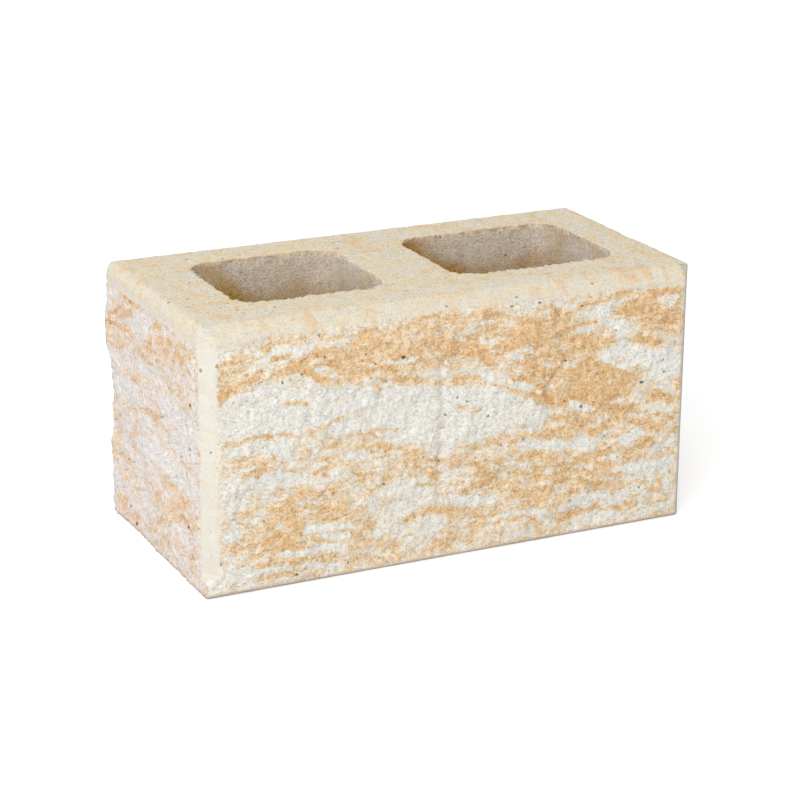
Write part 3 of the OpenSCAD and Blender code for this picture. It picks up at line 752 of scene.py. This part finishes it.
def fine_break(points):
    """Height of the fine relief. On the front its lumps stand a little taller than wide, as the
    splitter pulls them."""
    on_front = points[:, :1] > LEFT_X + 1
    tall = points * np.where(on_front, (1, 1, 0.62), (1, 1, 1))
    chips = rough(tall, 6.5, 21, 1, "VORONOI_F2F1")
    shelves = terraces(0.8 * rough(tall, 12, 22) + 1.0 * rough(tall, 6, 27), 0.9, 0.16)
    return (
        0.8 * shelves + 0.45 * rough(tall, 5.2, 23, 2)
        + 0.8 * chips + 0.15 + 0.45 * rough(points, 3.0, 25) + 0.36 * rough(points, 1.9, 26)
    )


def inside_ring(points, ring):
    """Which 2-D points lie inside a closed ring."""
    x, y = points[:, :1], points[:, 1:]
    ax, ay = ring[:, 0], ring[:, 1]
    bx, by = np.roll(ax, -1), np.roll(ay, -1)
    crosses = (ay > y) != (by > y)
    with np.errstate(divide="ignore", invalid="ignore"):
        reach = ax + (y - ay) * (bx - ax) / (by - ay)
    return (crosses & (x < reach)).sum(axis=1) % 2 == 1


def between_rings(points, rings):
    """Which 2-D points lie inside the first ring and outside the others, which are its holes."""
    inside = inside_ring(points, rings[0])
    for hole in rings[1:]:
        inside &= ~inside_ring(points, hole)
    return inside


def gap_to(points, ring):
    """Distance of each 2-D point to the nearest side of a closed ring."""
    best = np.full(len(points), np.inf)
    for start, end in zip(ring, np.roll(ring, -1, axis=0)):
        along = end - start
        length = max(along @ along, 1e-9)
        t = np.clip((points - start) @ along / length, 0, 1)
        best = np.minimum(best, np.hypot(*(points - start - t[:, None] * along).T))
    return best


def fill_points(rings, spacing, rows):
    """Points that fill the space between rings: rows beside each ring, then a triangular grid."""
    lowest, highest = rings[0].min(axis=0), rings[0].max(axis=0)
    across = np.arange(lowest[0], highest[0], spacing)
    down = np.arange(lowest[1], highest[1], spacing * math.sqrt(3) / 2)
    gx, gy = np.meshgrid(across, down)
    gx = gx + (np.arange(len(down)) % 2)[:, None] * spacing / 2
    grid = np.column_stack([gx.ravel(), gy.ravel()])
    grid = grid[between_rings(grid, rings)]
    gap = np.min([gap_to(grid, ring) for ring in rings], axis=0)
    parts = [grid[gap > (rows[-1] if rows else 0) + 0.55 * spacing]]
    for number, distance in enumerate(rows):
        for ring in rings:
            parts.append(beside(ring, distance, rings, number))
    return np.concatenate(parts)


def beside(ring, distance, rings, number):
    """A row of points at some distance inside the space that the rings bound."""
    ahead = np.roll(ring, -1, axis=0) - np.roll(ring, 1, axis=0)
    side = np.column_stack([-ahead[:, 1], ahead[:, 0]])
    side /= np.maximum(np.hypot(*side.T), 1e-9)[:, None]
    both = []
    for way in (side, -side):
        moved = (ring + way * distance)[number % 2::2]
        moved = moved[between_rings(moved, rings)]
        gap = np.min([gap_to(moved, r) for r in rings], axis=0)
        both.append(moved[gap > 0.85 * distance])
    return np.concatenate(both)


def add_patch(skin, rings, axes, push, spacing, rows=BORDER_ROWS):
    """Fills a flat face between closed rings of 3-D points. axes are the two that it spans."""
    flat = [ring[:, axes] for ring in rings]
    inner = fill_points(flat, spacing, rows)
    border = np.concatenate(flat)
    everything = np.concatenate([border, inner])
    edges, start = [], 0
    for ring in flat:
        n = len(ring)
        edges += [(start + k, start + (k + 1) % n) for k in range(n)]
        start += n
    result = delaunay_2d_cdt([Vector(p) for p in everything], edges, [], 0, 1e-7)
    places = np.array([tuple(p) for p in result[0]])
    faces = np.array(result[2])
    faces = faces[between_rings(places[faces].mean(axis=1), flat)]
    third = ({0, 1, 2} - set(axes)).pop()
    points = np.zeros((len(places), 3))
    points[:, axes] = places
    border_3d = np.concatenate(rings)
    points[:, third] = rings[0][:, third].mean()
    pushes = np.zeros_like(points)
    for k, sources in enumerate(result[3]):
        on_border = [s for s in sources if s < len(border)]
        if on_border:
            points[k] = border_3d[on_border[0]]
        else:
            pushes[k] = push
    skin.add(points, faces, pushes)


def run(start, end, spacing):
    """Points from start up to, but not at, end."""
    start, end = np.array(start, float), np.array(end, float)
    count = max(1, round(np.linalg.norm(end - start) / spacing))
    return np.array([start + (end - start) * k / count for k in range(count)])


def groove(points):
    """Moves points of the right end into its shallow round groove."""
    radius = (GROOVE_W ** 2 / 4 + GROOVE_D ** 2) / (2 * GROOVE_D)
    centre_y = (FRONT_Y + REAR_Y) / 2
    off = points[:, 1] - centre_y
    depth = np.sqrt(np.maximum(radius ** 2 - off ** 2, 0)) - radius + GROOVE_D
    out = points.copy()
    out[:, 0] -= np.maximum(depth, 0) * (np.abs(off) < GROOVE_W / 2)
    return out


def cell_ring(x_span, count):
    """Points and outward directions round a cell at the top, anticlockwise from above."""
    (x0, x1), (y0, y1), r = x_span, CELL_Y, CELL_CORNER
    corners = [(x1 - r, y0 + r, -90), (x1 - r, y1 - r, 0), (x0 + r, y1 - r, 90), (x0 + r, y0 + r, 180)]
    dense = []
    for k, (cx, cy, turn) in enumerate(corners):
        for a in np.linspace(turn, turn + 90, 40):
            d = np.array([math.cos(math.radians(a)), math.sin(math.radians(a))])
            dense.append(np.concatenate([np.array([cx, cy]) + r * d, d]))
    dense = np.array(dense + [dense[0]])
    along = np.concatenate([[0], np.cumsum(np.hypot(*np.diff(dense[:, :2], axis=0).T))])
    places = np.linspace(0, along[-1], count, endpoint=False)
    ring = np.column_stack([np.interp(places, along, dense[:, k]) for k in range(4)])
    ring[:, 2:] /= np.hypot(ring[:, 2], ring[:, 3])[:, None]
    return ring[:, :2], ring[:, 2:]


def cell_wall_points(ring, outward, depth, seed):
    """One ring of the cell's wall, at a depth below the top, with its grain and teeth."""
    lean = CELL_DRAFT * depth / TOP_Z
    place = np.column_stack([ring - outward * lean, np.full(len(ring), TOP_Z - depth)])
    to_front = np.clip(-outward[:, 1], 0, 1)
    wear_and_shade = (0.65 + 0.9 * rough(place * (1, 1, 0), 17, seed + 2)) * (1 + 0.8 * to_front)
    teeth = TOOTH * wear_and_shade * rough(place * (1, 1, 0.35), 3.6, seed, 3)
    teeth = np.clip(teeth, -LARGEST_TOOTH, LARGEST_TOOTH) * math.exp(-depth / TEETH_FADE)
    grain = 0.4 * rough(place, 6, seed + 1, 2) * min(1, depth / 3) * min(1, (TOP_Z - depth) / 3)
    if depth < RIM_CHIPPED:
        chip = step(rough(place * (1, 1, 0), 3.0, seed + 3, 2), -0.1, 0.4) * (0.6 + 0.8 * to_front)
        place[:, 2] -= chip * math.exp(-depth / CHIPS_FADE)
    place[:, :2] += outward * (teeth + grain)[:, None]
    return place


def cell_marks(rings, x_span):
    """Marks of a cell's wall: shaded from a little under its rim, and brown as painted shade low down,
    as a painted shadow where the left web keeps the light off, and in random patches."""
    places = np.concatenate(rings)
    below = TOP_Z - places[:, 2]
    patches = 0.45 * rough(places * (1, 1, 0.8), 27, 81, 2)
    # Painted shadow of the left web on the wall, reaching further right the deeper it goes
    web_shadow = 1 - step(places[:, 0] - x_span[0] - 1.15 * below, 4, 40)
    if x_span[0] < 0:
        web_shadow = LEFT_CELL_WEB_SHADOW * web_shadow
    # Painted shade, browner towards the bottom of the cell
    deep_shade = step(below, 12, 42)
    damp = np.clip(web_shadow + 0.65 * deep_shade + patches, 0, 1)
    rim = (1 - step(below, 2, 5)) * step(places[:, 1], 50, 60)
    return {"shade": step(below, 0.5, 4.5), "damp": damp, "marble": 0.6 * rim}


def add_cell(skin, x_span, seed):
    """The wall of one cell. Returns its rings at the top and at the bottom."""
    length = 2 * (x_span[1] - x_span[0] + CELL_Y[1] - CELL_Y[0]) - (8 - 2 * math.pi) * CELL_CORNER
    half = round(length / CELL_STEP / 2)
    ring, outward = cell_ring(x_span, 2 * half)
    fine = [cell_wall_points(ring, outward, depth, seed) for depth in FINE_DEPTHS]
    rest = round((TOP_Z - FINE_DEPTHS[-1]) / WALL_STEP)
    depths = np.linspace(FINE_DEPTHS[-1], TOP_Z, rest + 1)[1:]
    coarse = [cell_wall_points(ring[::2], outward[::2], depth, seed) for depth in depths]
    add_tube(skin, fine, x_span)
    add_tube(skin, coarse, x_span)
    add_halving(skin, fine[-1], coarse[0], x_span)
    return fine[0], coarse[-1]


def add_tube(skin, rings, x_span):
    """A band of rings with the same number of points."""
    closed = np.array([np.concatenate([ring, ring[:1]]) for ring in rings])
    skin.add(closed.reshape(-1, 3), grid_faces(*closed.shape[:2]), **cell_marks(closed, x_span))


def add_halving(skin, fine, coarse, x_span):
    """A band between a ring and the one below it with half as many points."""
    n = len(coarse)
    c = np.arange(n)
    d = (c + 1) % n + len(fine)
    f, g, h = 2 * c, 2 * c + 1, (2 * c + 2) % len(fine)
    c = c + len(fine)
    faces = np.concatenate([np.stack([c, f, g], 1), np.stack([c, g, d], 1), np.stack([d, g, h], 1)])
    skin.add(np.concatenate([fine, coarse]), faces, **cell_marks([fine, coarse], x_span))


def build_skin():
    """The whole surface of the block: its points, faces and marks."""
    skin = Skin()
    sheet = add_split_sheet(skin)
    lids = [add_cell(skin, span, 60 + 7 * k) for k, span in enumerate(CELLS_X)]
    rear_edges, right_edges, outlines = [], [], []
    for level in (sheet[0], sheet[-1]):
        corner = (RIGHT_X, REAR_Y, level[0, 2])
        right_edges.append(groove(run(level[-1], corner, EDGE_STEP)))
        rear_edges.append(run(corner, level[0], EDGE_STEP))
        outlines.append(np.concatenate([level[:-1], right_edges[-1], rear_edges[-1]]))
    add_patch(skin, [outlines[0]] + [bottom for _, bottom in lids], [0, 1], (0, 0, 1), BASE_STEP,
              BASE_BORDER_ROWS)
    add_patch(skin, [outlines[1]] + [top for top, _ in lids], [0, 1], (0, 0, -1), TOP_STEP)
    skin.paint(moulded_marks)
    upright = run((RIGHT_X, REAR_Y, 0), (RIGHT_X, REAR_Y, TOP_Z), EDGE_STEP)
    back = tidy_ring(np.concatenate([
        rear_edges[0], sheet[:, 0], rear_edges[1][::-1], upright[::-1]
    ]))
    add_patch(skin, [back], [0, 2], (0, -1, 0), PLAIN_STEP)
    skin.paint(side_marks)
    end = tidy_ring(np.concatenate([
        right_edges[0], upright, [[RIGHT_X, REAR_Y, TOP_Z]], right_edges[1][::-1], sheet[::-1, -1]
    ]))
    add_patch(skin, [end], [1, 2], (-1, 0, 0), PLAIN_STEP)
    skin.paint(side_marks)
    points, faces, pushes, marks = skin.weld()
    return wear_edges(points + pushes * pitting(points)[:, None]), faces, marks


def pitting(points):
    """Depth of the open grain and the pits of a moulded face."""
    pit = 1 - step(rough(points, 9, 72, 1, "VORONOI_F1"), -0.78, -0.5)
    return 0.3 * np.clip(rough(points, 4.5, 71, 2) + 0.2, 0, 1) + 0.8 * pit


def wear_edges(points):
    """Rounds the square edges at the top, the rear, the right end and the floor, unevenly."""
    sharp = step(points[:, 0], RIGHT_X - 25, RIGHT_X - 8) * (1 - step(points[:, 1], -70, -40))
    radius = np.clip(1.1 + 0.9 * rough(points, 8, 75, 2), 0.5, 2.0) * (1 - 0.6 * sharp)
    radius = radius[:, None]
    beyond = 1e6
    nearest = np.clip(points, radius * (0, 0, 1) - (beyond, beyond, 0), high - radius)
    off = points - nearest
    length = np.linalg.norm(off, axis=1, keepdims=True)
    return np.where(length > radius, nearest + off * radius / np.maximum(length, WELD), points)


def tidy_ring(ring):
    """Drops repeated points of a closed ring."""
    gap = np.abs(ring - np.roll(ring, 1, axis=0)).max(axis=1)
    return ring[gap > 1e-6]


def make_mesh(points, faces, marks):
    """A Blender mesh in metres with the marks on its points and its faces turned outward."""
    mesh = bpy.data.meshes.new("concrete_block")
    mesh.vertices.add(len(points))
    mesh.vertices.foreach_set("co", (points * MM).ravel())
    mesh.loops.add(3 * len(faces))
    mesh.loops.foreach_set("vertex_index", faces.ravel())
    mesh.polygons.add(len(faces))
    mesh.polygons.foreach_set("loop_start", np.arange(0, 3 * len(faces), 3))
    mesh.update(calc_edges=True)
    for name, values in marks.items():
        mesh.attributes.new(name, "FLOAT", "POINT").data.foreach_set("value", values)
    sides = bmesh.new()
    sides.from_mesh(mesh)
    bmesh.ops.recalc_face_normals(sides, faces=sides.faces)
    sides.to_mesh(mesh)
    sides.free()
    mesh.shade_smooth()
    return mesh


class Nodes:
    """Short forms for building the node tree of a material or of the world."""

    def __init__(self, owner, coordinates=None):
        """coordinates names the texture coordinates that place and axes follow, if it needs any."""
        owner.use_nodes = True
        self.tree = owner.node_tree
        if coordinates:
            self.place = self.new("TexCoord").outputs[coordinates]
            self.axes = self.new("SeparateXYZ", Vector=self.place).outputs

    def new(self, kind, **inputs):
        """A node of some kind. Its named inputs are fed or set."""
        node = self.tree.nodes.new("ShaderNode" + kind)
        for name, value in inputs.items():
            self.link(value, node.inputs[name])
        return node

    def link(self, value, socket):
        """Feeds a socket with another node's output, or sets a plain value on it."""
        if isinstance(value, bpy.types.NodeSocket):
            self.tree.links.new(value, socket)
        else:
            socket.default_value = value

    def seen(self):
        """1 for what the camera sees itself, 0 for what only lights other things."""
        return self.new("LightPath").outputs["Is Camera Ray"]

    def mark(self, name):
        """A value from MARKS."""
        node = self.new("Attribute")
        node.attribute_name = name
        return node.outputs["Fac"]

    def math(self, operation, *values):
        node = self.new("Math")
        node.operation = operation
        for value, socket in zip(values, node.inputs):
            self.link(value, socket)
        return node.outputs[0]

    def about_zero(self, value):
        """A noise moved so that its mean is 0."""
        return self.math("SUBTRACT", value, 0.5)

    def product(self, one, other):
        return self.math("MULTIPLY", one, other)

    def scaled(self, value, factor, plus):
        """value times factor, plus another value."""
        return self.math("MULTIPLY_ADD", value, factor, plus)

    def total(self, first, *others):
        """The sum of several values."""
        for value in others:
            first = self.math("ADD", first, value)
        return first

    def moved(self, stretch):
        """The place, stretched and bent up along the run of the mix."""
        run = self.scaled(self.mark("drift"), -MM, self.axes["Z"])
        bent = self.new("CombineXYZ", X=self.axes["X"], Y=self.axes["Y"], Z=run)
        return self.new("Mapping", Scale=stretch, Vector=bent.outputs[0]).outputs[0]

    def noise(self, size, detail=2.0, roughness=0.55, stretch=None):
        """Noise from about 0 to 1 whose lumps have the given size. A stretched one follows the
        run of the mix."""
        place = self.moved(stretch) if stretch else self.place
        node = self.new("TexNoise", Vector=place, Scale=1 / (size * MM), Detail=detail,
                        Roughness=roughness)
        return node.outputs["Fac"]

    def thread(self, size, stretch, width):
        """1 along thin winding lines, 0 away from them."""
        off = self.math("ABSOLUTE", self.about_zero(self.noise(size, 1, 0.5, stretch)))
        return self.between(off, 0.0, width, 1.0, 0.0)

    def grains(self, size, channel):
        """Cells of the given size, each with a random value: one channel of a random colour."""
        cells = self.new("TexVoronoi", Vector=self.place, Scale=1 / (size * MM))
        return self.new("SeparateColor", Color=cells.outputs["Color"]).outputs[channel]

    def between(self, value, start, end, low=0.0, high=1.0):
        """low up to start, high from end on, smooth between."""
        node = self.new("MapRange")
        node.interpolation_type = "SMOOTHSTEP"
        for one, socket in zip((value, start, end, low, high), node.inputs):
            self.link(one, socket)
        return node.outputs[0]

    def mix(self, share, first, second, blend="MIX"):
        node = self.new("Mix")
        node.data_type = "RGBA"
        node.blend_type = blend
        colours = [s for s in node.inputs if s.type == "RGBA"]
        for value, socket in zip((share, first, second), (node.inputs[0], *colours)):
            self.link(value, socket)
        return next(s for s in node.outputs if s.type == "RGBA")

    def adjust(self, colour, saturation, brightness, hue):
        node = self.new("HueSaturation", Color=colour, Saturation=saturation, Value=brightness, Hue=hue)
        return node.outputs["Color"]

    def ramp(self, value, stops):
        """A run of colours, each given with its place from 0 to 1."""
        node = self.new("ValToRGB", Fac=value)
        points = node.color_ramp.elements
        while len(points) < len(stops):
            points.new(0.5)
        for point, (place, colour) in zip(points, stops):
            point.position = place
            point.color = tint(*colour)
        return node.outputs["Color"]


def tint(red, green, blue):
    """A colour written as it shows on screen, 0 to 255, as the linear colour of a socket."""
    def linear(c):
        c = c / 255
        return c / 12.92 if c <= 0.04045 else ((c + 0.055) / 1.055) ** 2.4
    return (linear(red), linear(green), linear(blue), 1)


# Colours of the concrete as they show on screen. In a list each has its place from 0 to 1
WHITE_TO_ORANGE = (
    (0.08, (235, 233, 225)), (0.32, (236, 228, 213)), (0.54, (234, 215, 187)), (0.76, (232, 200, 158)),
    (1.0, (226, 185, 136)),
)
SAND = ((0.34, (228, 208, 172)), (0.48, (229, 215, 188)), (0.64, (224, 217, 201)))
SLURRY = ((0.3, (218, 212, 197)), (0.7, (223, 220, 209)))
DUST = ((0.35, (219, 203, 182)), (0.65, (224, 214, 201)))
# Of these, the greyish pink at the floor is painted shade on the bottom arris, and the brown of the cells
# is painted shade and shadow, with random patches
SMEAR, PINK_CAST, FLOOR_SHADE, DAMP_AND_SHADOW = (229, 194, 150), (252, 247, 251), (204, 186, 174), (187, 149, 80)
BLACK_GRAIN, SPECK = (96, 82, 66), (66, 58, 54)
ROUGHNESS, SHEEN = 0.92, 0.25


def broken_colour(n, lumpy):
    """Colour of the broken faces, and its place from 0, white, to 1, orange. The marbling's edges
    are ragged by the grain of the mix, and threads of orange and of white run through it."""
    marble = n.mark("marble")
    ragged = n.scaled(lumpy, 0.6, marble)
    wisps = n.about_zero(n.noise(3.2, 1, stretch=(0.35, 0.35, 1)))
    mingled = n.between(marble, -0.75, -0.2)
    orange_threads = n.product(n.thread(8.0, (0.3, 0.3, 1), 0.07), mingled)
    pale_threads = n.product(n.thread(9.0, (0.35, 0.35, 1), 0.06), -0.4)
    threads = n.scaled(wisps, 0.5, n.scaled(orange_threads, 0.32, pale_threads))
    ragged = n.scaled(threads, n.scaled(n.mark("side"), -0.6, 0.95), ragged)
    rusty = n.between(n.grains(3.0, "Green"), 0.92, 0.98)
    level = n.scaled(n.scaled(rusty, 0.3, ragged), 0.5, 0.5)
    return n.ramp(level, WHITE_TO_ORANGE), level


def moulded_colour(n, shell, lumpy):
    """Colour of the moulded faces: sand and slurry, paler where the mould's wall was, with faint
    smears of the orange mix."""
    moulded = n.mix(shell, n.ramp(n.noise(13, 2), SAND), n.ramp(n.noise(9, 3), SLURRY))
    smeared = n.between(n.scaled(lumpy, 0.9, n.mark("marble")), 0.0, 0.95)
    return n.mix(n.product(smeared, 0.65), moulded, tint(*SMEAR))


def grain_lift(n, contrast):
    """How much the grains brighten or darken the concrete, with painted shade in its pores and hollows."""
    grain = n.grains(1.3, "Red")
    one = n.scaled(n.product(grain, grain), -0.27, 0.10)
    two = n.between(n.grains(2.3, "Red"), 0.0, 1.0, -0.03, 0.03)
    # Painted shade of tiny pits, as dark spots
    pore_shade = n.product(n.between(n.noise(1.1, 1), 0.42, 0.26), -0.22)
    flecks = n.product(n.between(n.grains(1.8, "Green"), 0.95, 0.985), -0.16)
    veins = n.product(n.between(n.noise(1.5, 2, stretch=(0.3, 0.3, 1)), 0.44, 0.34), -0.10)
    lift = n.product(n.total(one, two, pore_shade, flecks, veins), contrast)
    # Painted shade: darker in hollows, in the crack, on the right chamfer and a little on the bevels
    return n.scaled(n.mark("cavity"), -0.07, lift)


def make_concrete():
    """The one material of the block. It reads MARKS and the place."""
    material = bpy.data.materials.new("concrete")
    n = Nodes(material, "Object")
    split, shell, shade = n.mark("split"), n.mark("shell"), n.mark("shade")
    lumpy = n.about_zero(n.noise(4.2, 1))
    broken, level = broken_colour(n, lumpy)
    colour = n.mix(split, moulded_colour(n, shell, lumpy), broken)
    colour = n.mix(n.mark("side"), colour, tint(*PINK_CAST), "MULTIPLY")
    # Painted shade on the bottom arris, which faces the floor: greyish pink towards the bottom
    shade_at_floor = n.between(n.axes["Z"], 0.5 * MM, 3.5 * MM, 0.8, 0.0)
    colour = n.mix(shade_at_floor, colour, tint(*FLOOR_SHADE))

    # Inside the cells the wall is rough and dusty, violet grey in places and brown in others; the brown
    # is painted shade low down and a painted shadow behind the left web, with random patches
    dusty = n.mix(n.mark("damp"), n.ramp(n.noise(12, 3), DUST), tint(*DAMP_AND_SHADOW))
    colour = n.mix(shade, colour, dusty)

    # The grain is weak on slurry and stronger in the cells and in the orange
    grainy = n.scaled(shade, 0.3, n.scaled(shell, -0.7, 1.0))
    busy = n.math("SUBTRACT", n.between(level, 0.2, 0.8, 1.0, 1.35), 0.8)
    lift = grain_lift(n, n.product(grainy, n.scaled(split, busy, 0.8)))
    hue = n.scaled(n.about_zero(n.noise(8, 2)), 0.03, 0.5)
    colour = n.adjust(colour, n.scaled(lift, -0.25, 1.0), n.math("ADD", lift, 1.0), hue)
    black = n.between(n.grains(2.0, "Blue"), 0.997, 0.999)
    colour = n.mix(n.product(black, 0.6), colour, tint(*BLACK_GRAIN))
    speck = n.product(n.between(n.mark("speck"), 0.3, 0.75), 0.85)
    colour = n.mix(speck, colour, tint(*SPECK))
    fine, dust = n.noise(1.7, 2), n.noise(0.7, 1)
    height = n.product(n.total(n.product(fine, 0.8), n.product(dust, 0.7)), grainy)
    bump = n.new("Bump", Strength=0.9, Distance=1.0 * MM, Height=height)
    shader = n.tree.nodes["Principled BSDF"].inputs
    n.link(colour, shader["Base Color"])
    n.link(ROUGHNESS, shader["Roughness"])
    n.link(SHEEN, shader["Specular IOR Level"])
    n.link(bump.outputs[0], shader["Normal"])
    return material


def aim(thing, place, target, roll=0.0):
    """Puts an object at a place, looks at a target and rolls it about its own axis."""
    direction = Vector(target) - Vector(place)
    turn = direction.to_track_quat("-Z", "Y").to_matrix().to_4x4()
    thing.matrix_world = (
        Matrix.Translation(Vector(place)) @ turn @ Matrix.Rotation(math.radians(roll), 4, "Z")
    )


def add_object(name, data):
    """A new object in the scene."""
    thing = bpy.data.objects.new(name, data)
    bpy.context.scene.collection.objects.link(thing)
    return thing


# The camera and its place, fitted to the block's outline in the photo, in millimetres and degrees
LENS, SENSOR = 110.627, 36
CAMERA_PLACE, CAMERA_WAY, CAMERA_ROLL = (-776.66, -1603.51, 701.90), (0.41308, 0.85128, -0.32356), 0.342

# The light: an even room that is a little brighter on the left, and a softbox in front on the left
ROOM, ROOM_SLOPE = 0.80, -0.22
SOFTBOX_PLACE, SOFTBOX_AIM, SOFTBOX_SIZE, SOFTBOX_WATTS = (-1.6, -1.8, 1.8), (0, 0, 0.1), (1.1, 0.9), 36
FLOOR_REACH, FLOOR_GREY, FLOOR_LIFT = 8.0, 0.75, 0.4


def make_camera():
    """The photo's camera."""
    data = bpy.data.cameras.new("camera")
    data.lens = LENS
    data.sensor_width = SENSOR
    camera = add_object("camera", data)
    place = Vector(CAMERA_PLACE) * MM
    aim(camera, place, place + Vector(CAMERA_WAY), CAMERA_ROLL)
    bpy.context.scene.camera = camera


def make_world():
    """The room's light, which the camera sees as plain white."""
    world = bpy.data.worlds.new("studio")
    bpy.context.scene.world = world
    n = Nodes(world, "Generated")
    either = n.new("Mix")
    either.data_type = "FLOAT"
    room = n.scaled(n.axes["X"], ROOM_SLOPE, ROOM)
    for value, socket in ((n.seen(), 0), (room, 2), (1.0, 3)):
        n.link(value, either.inputs[socket])
    background = n.tree.nodes["Background"].inputs
    n.link((1, 1, 1, 1), background["Color"])
    n.link(either.outputs[0], background["Strength"])


def make_light():
    """The softbox in front of the block on the left."""
    data = bpy.data.lights.new("softbox", "AREA")
    data.shape = "RECTANGLE"
    data.size, data.size_y = SOFTBOX_SIZE
    data.energy = SOFTBOX_WATTS
    light = add_object("softbox", data)
    aim(light, SOFTBOX_PLACE, SOFTBOX_AIM)


def make_floor():
    """A pale floor that keeps the shadow, lifted towards white for the camera alone."""
    mesh = bpy.data.meshes.new("floor")
    corners = [(x * FLOOR_REACH, y * FLOOR_REACH, 0) for x, y in ((-1, -1), (1, -1), (1, 1), (-1, 1))]
    mesh.from_pydata(corners, [], [(0, 1, 2, 3)])
    floor = add_object("floor", mesh)
    material = bpy.data.materials.new("pale_floor")
    n = Nodes(material)
    n.tree.nodes.clear()
    diffuse = n.new("BsdfDiffuse", Color=(FLOOR_GREY, FLOOR_GREY, FLOOR_GREY, 1))
    lift = n.new("Emission", Strength=n.product(n.seen(), FLOOR_LIFT))
    both = n.new("AddShader")
    n.link(diffuse.outputs[0], both.inputs[0])
    n.link(lift.outputs[0], both.inputs[1])
    n.new("OutputMaterial", Surface=both.outputs[0])
    floor.data.materials.append(material)


def make_block():
    """The block's skin as a Blender object in place of the CAD node."""
    points, faces, marks = build_skin()
    mesh = make_mesh(points, faces, marks)
    block = add_object("concrete_block", mesh)
    mesh.materials.append(make_concrete())
    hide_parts(NODE)
    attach(block, BODY)


make_camera()
make_world()
make_light()
make_floor()
make_block()
bpy.context.scene.view_settings.view_transform = "Standard"
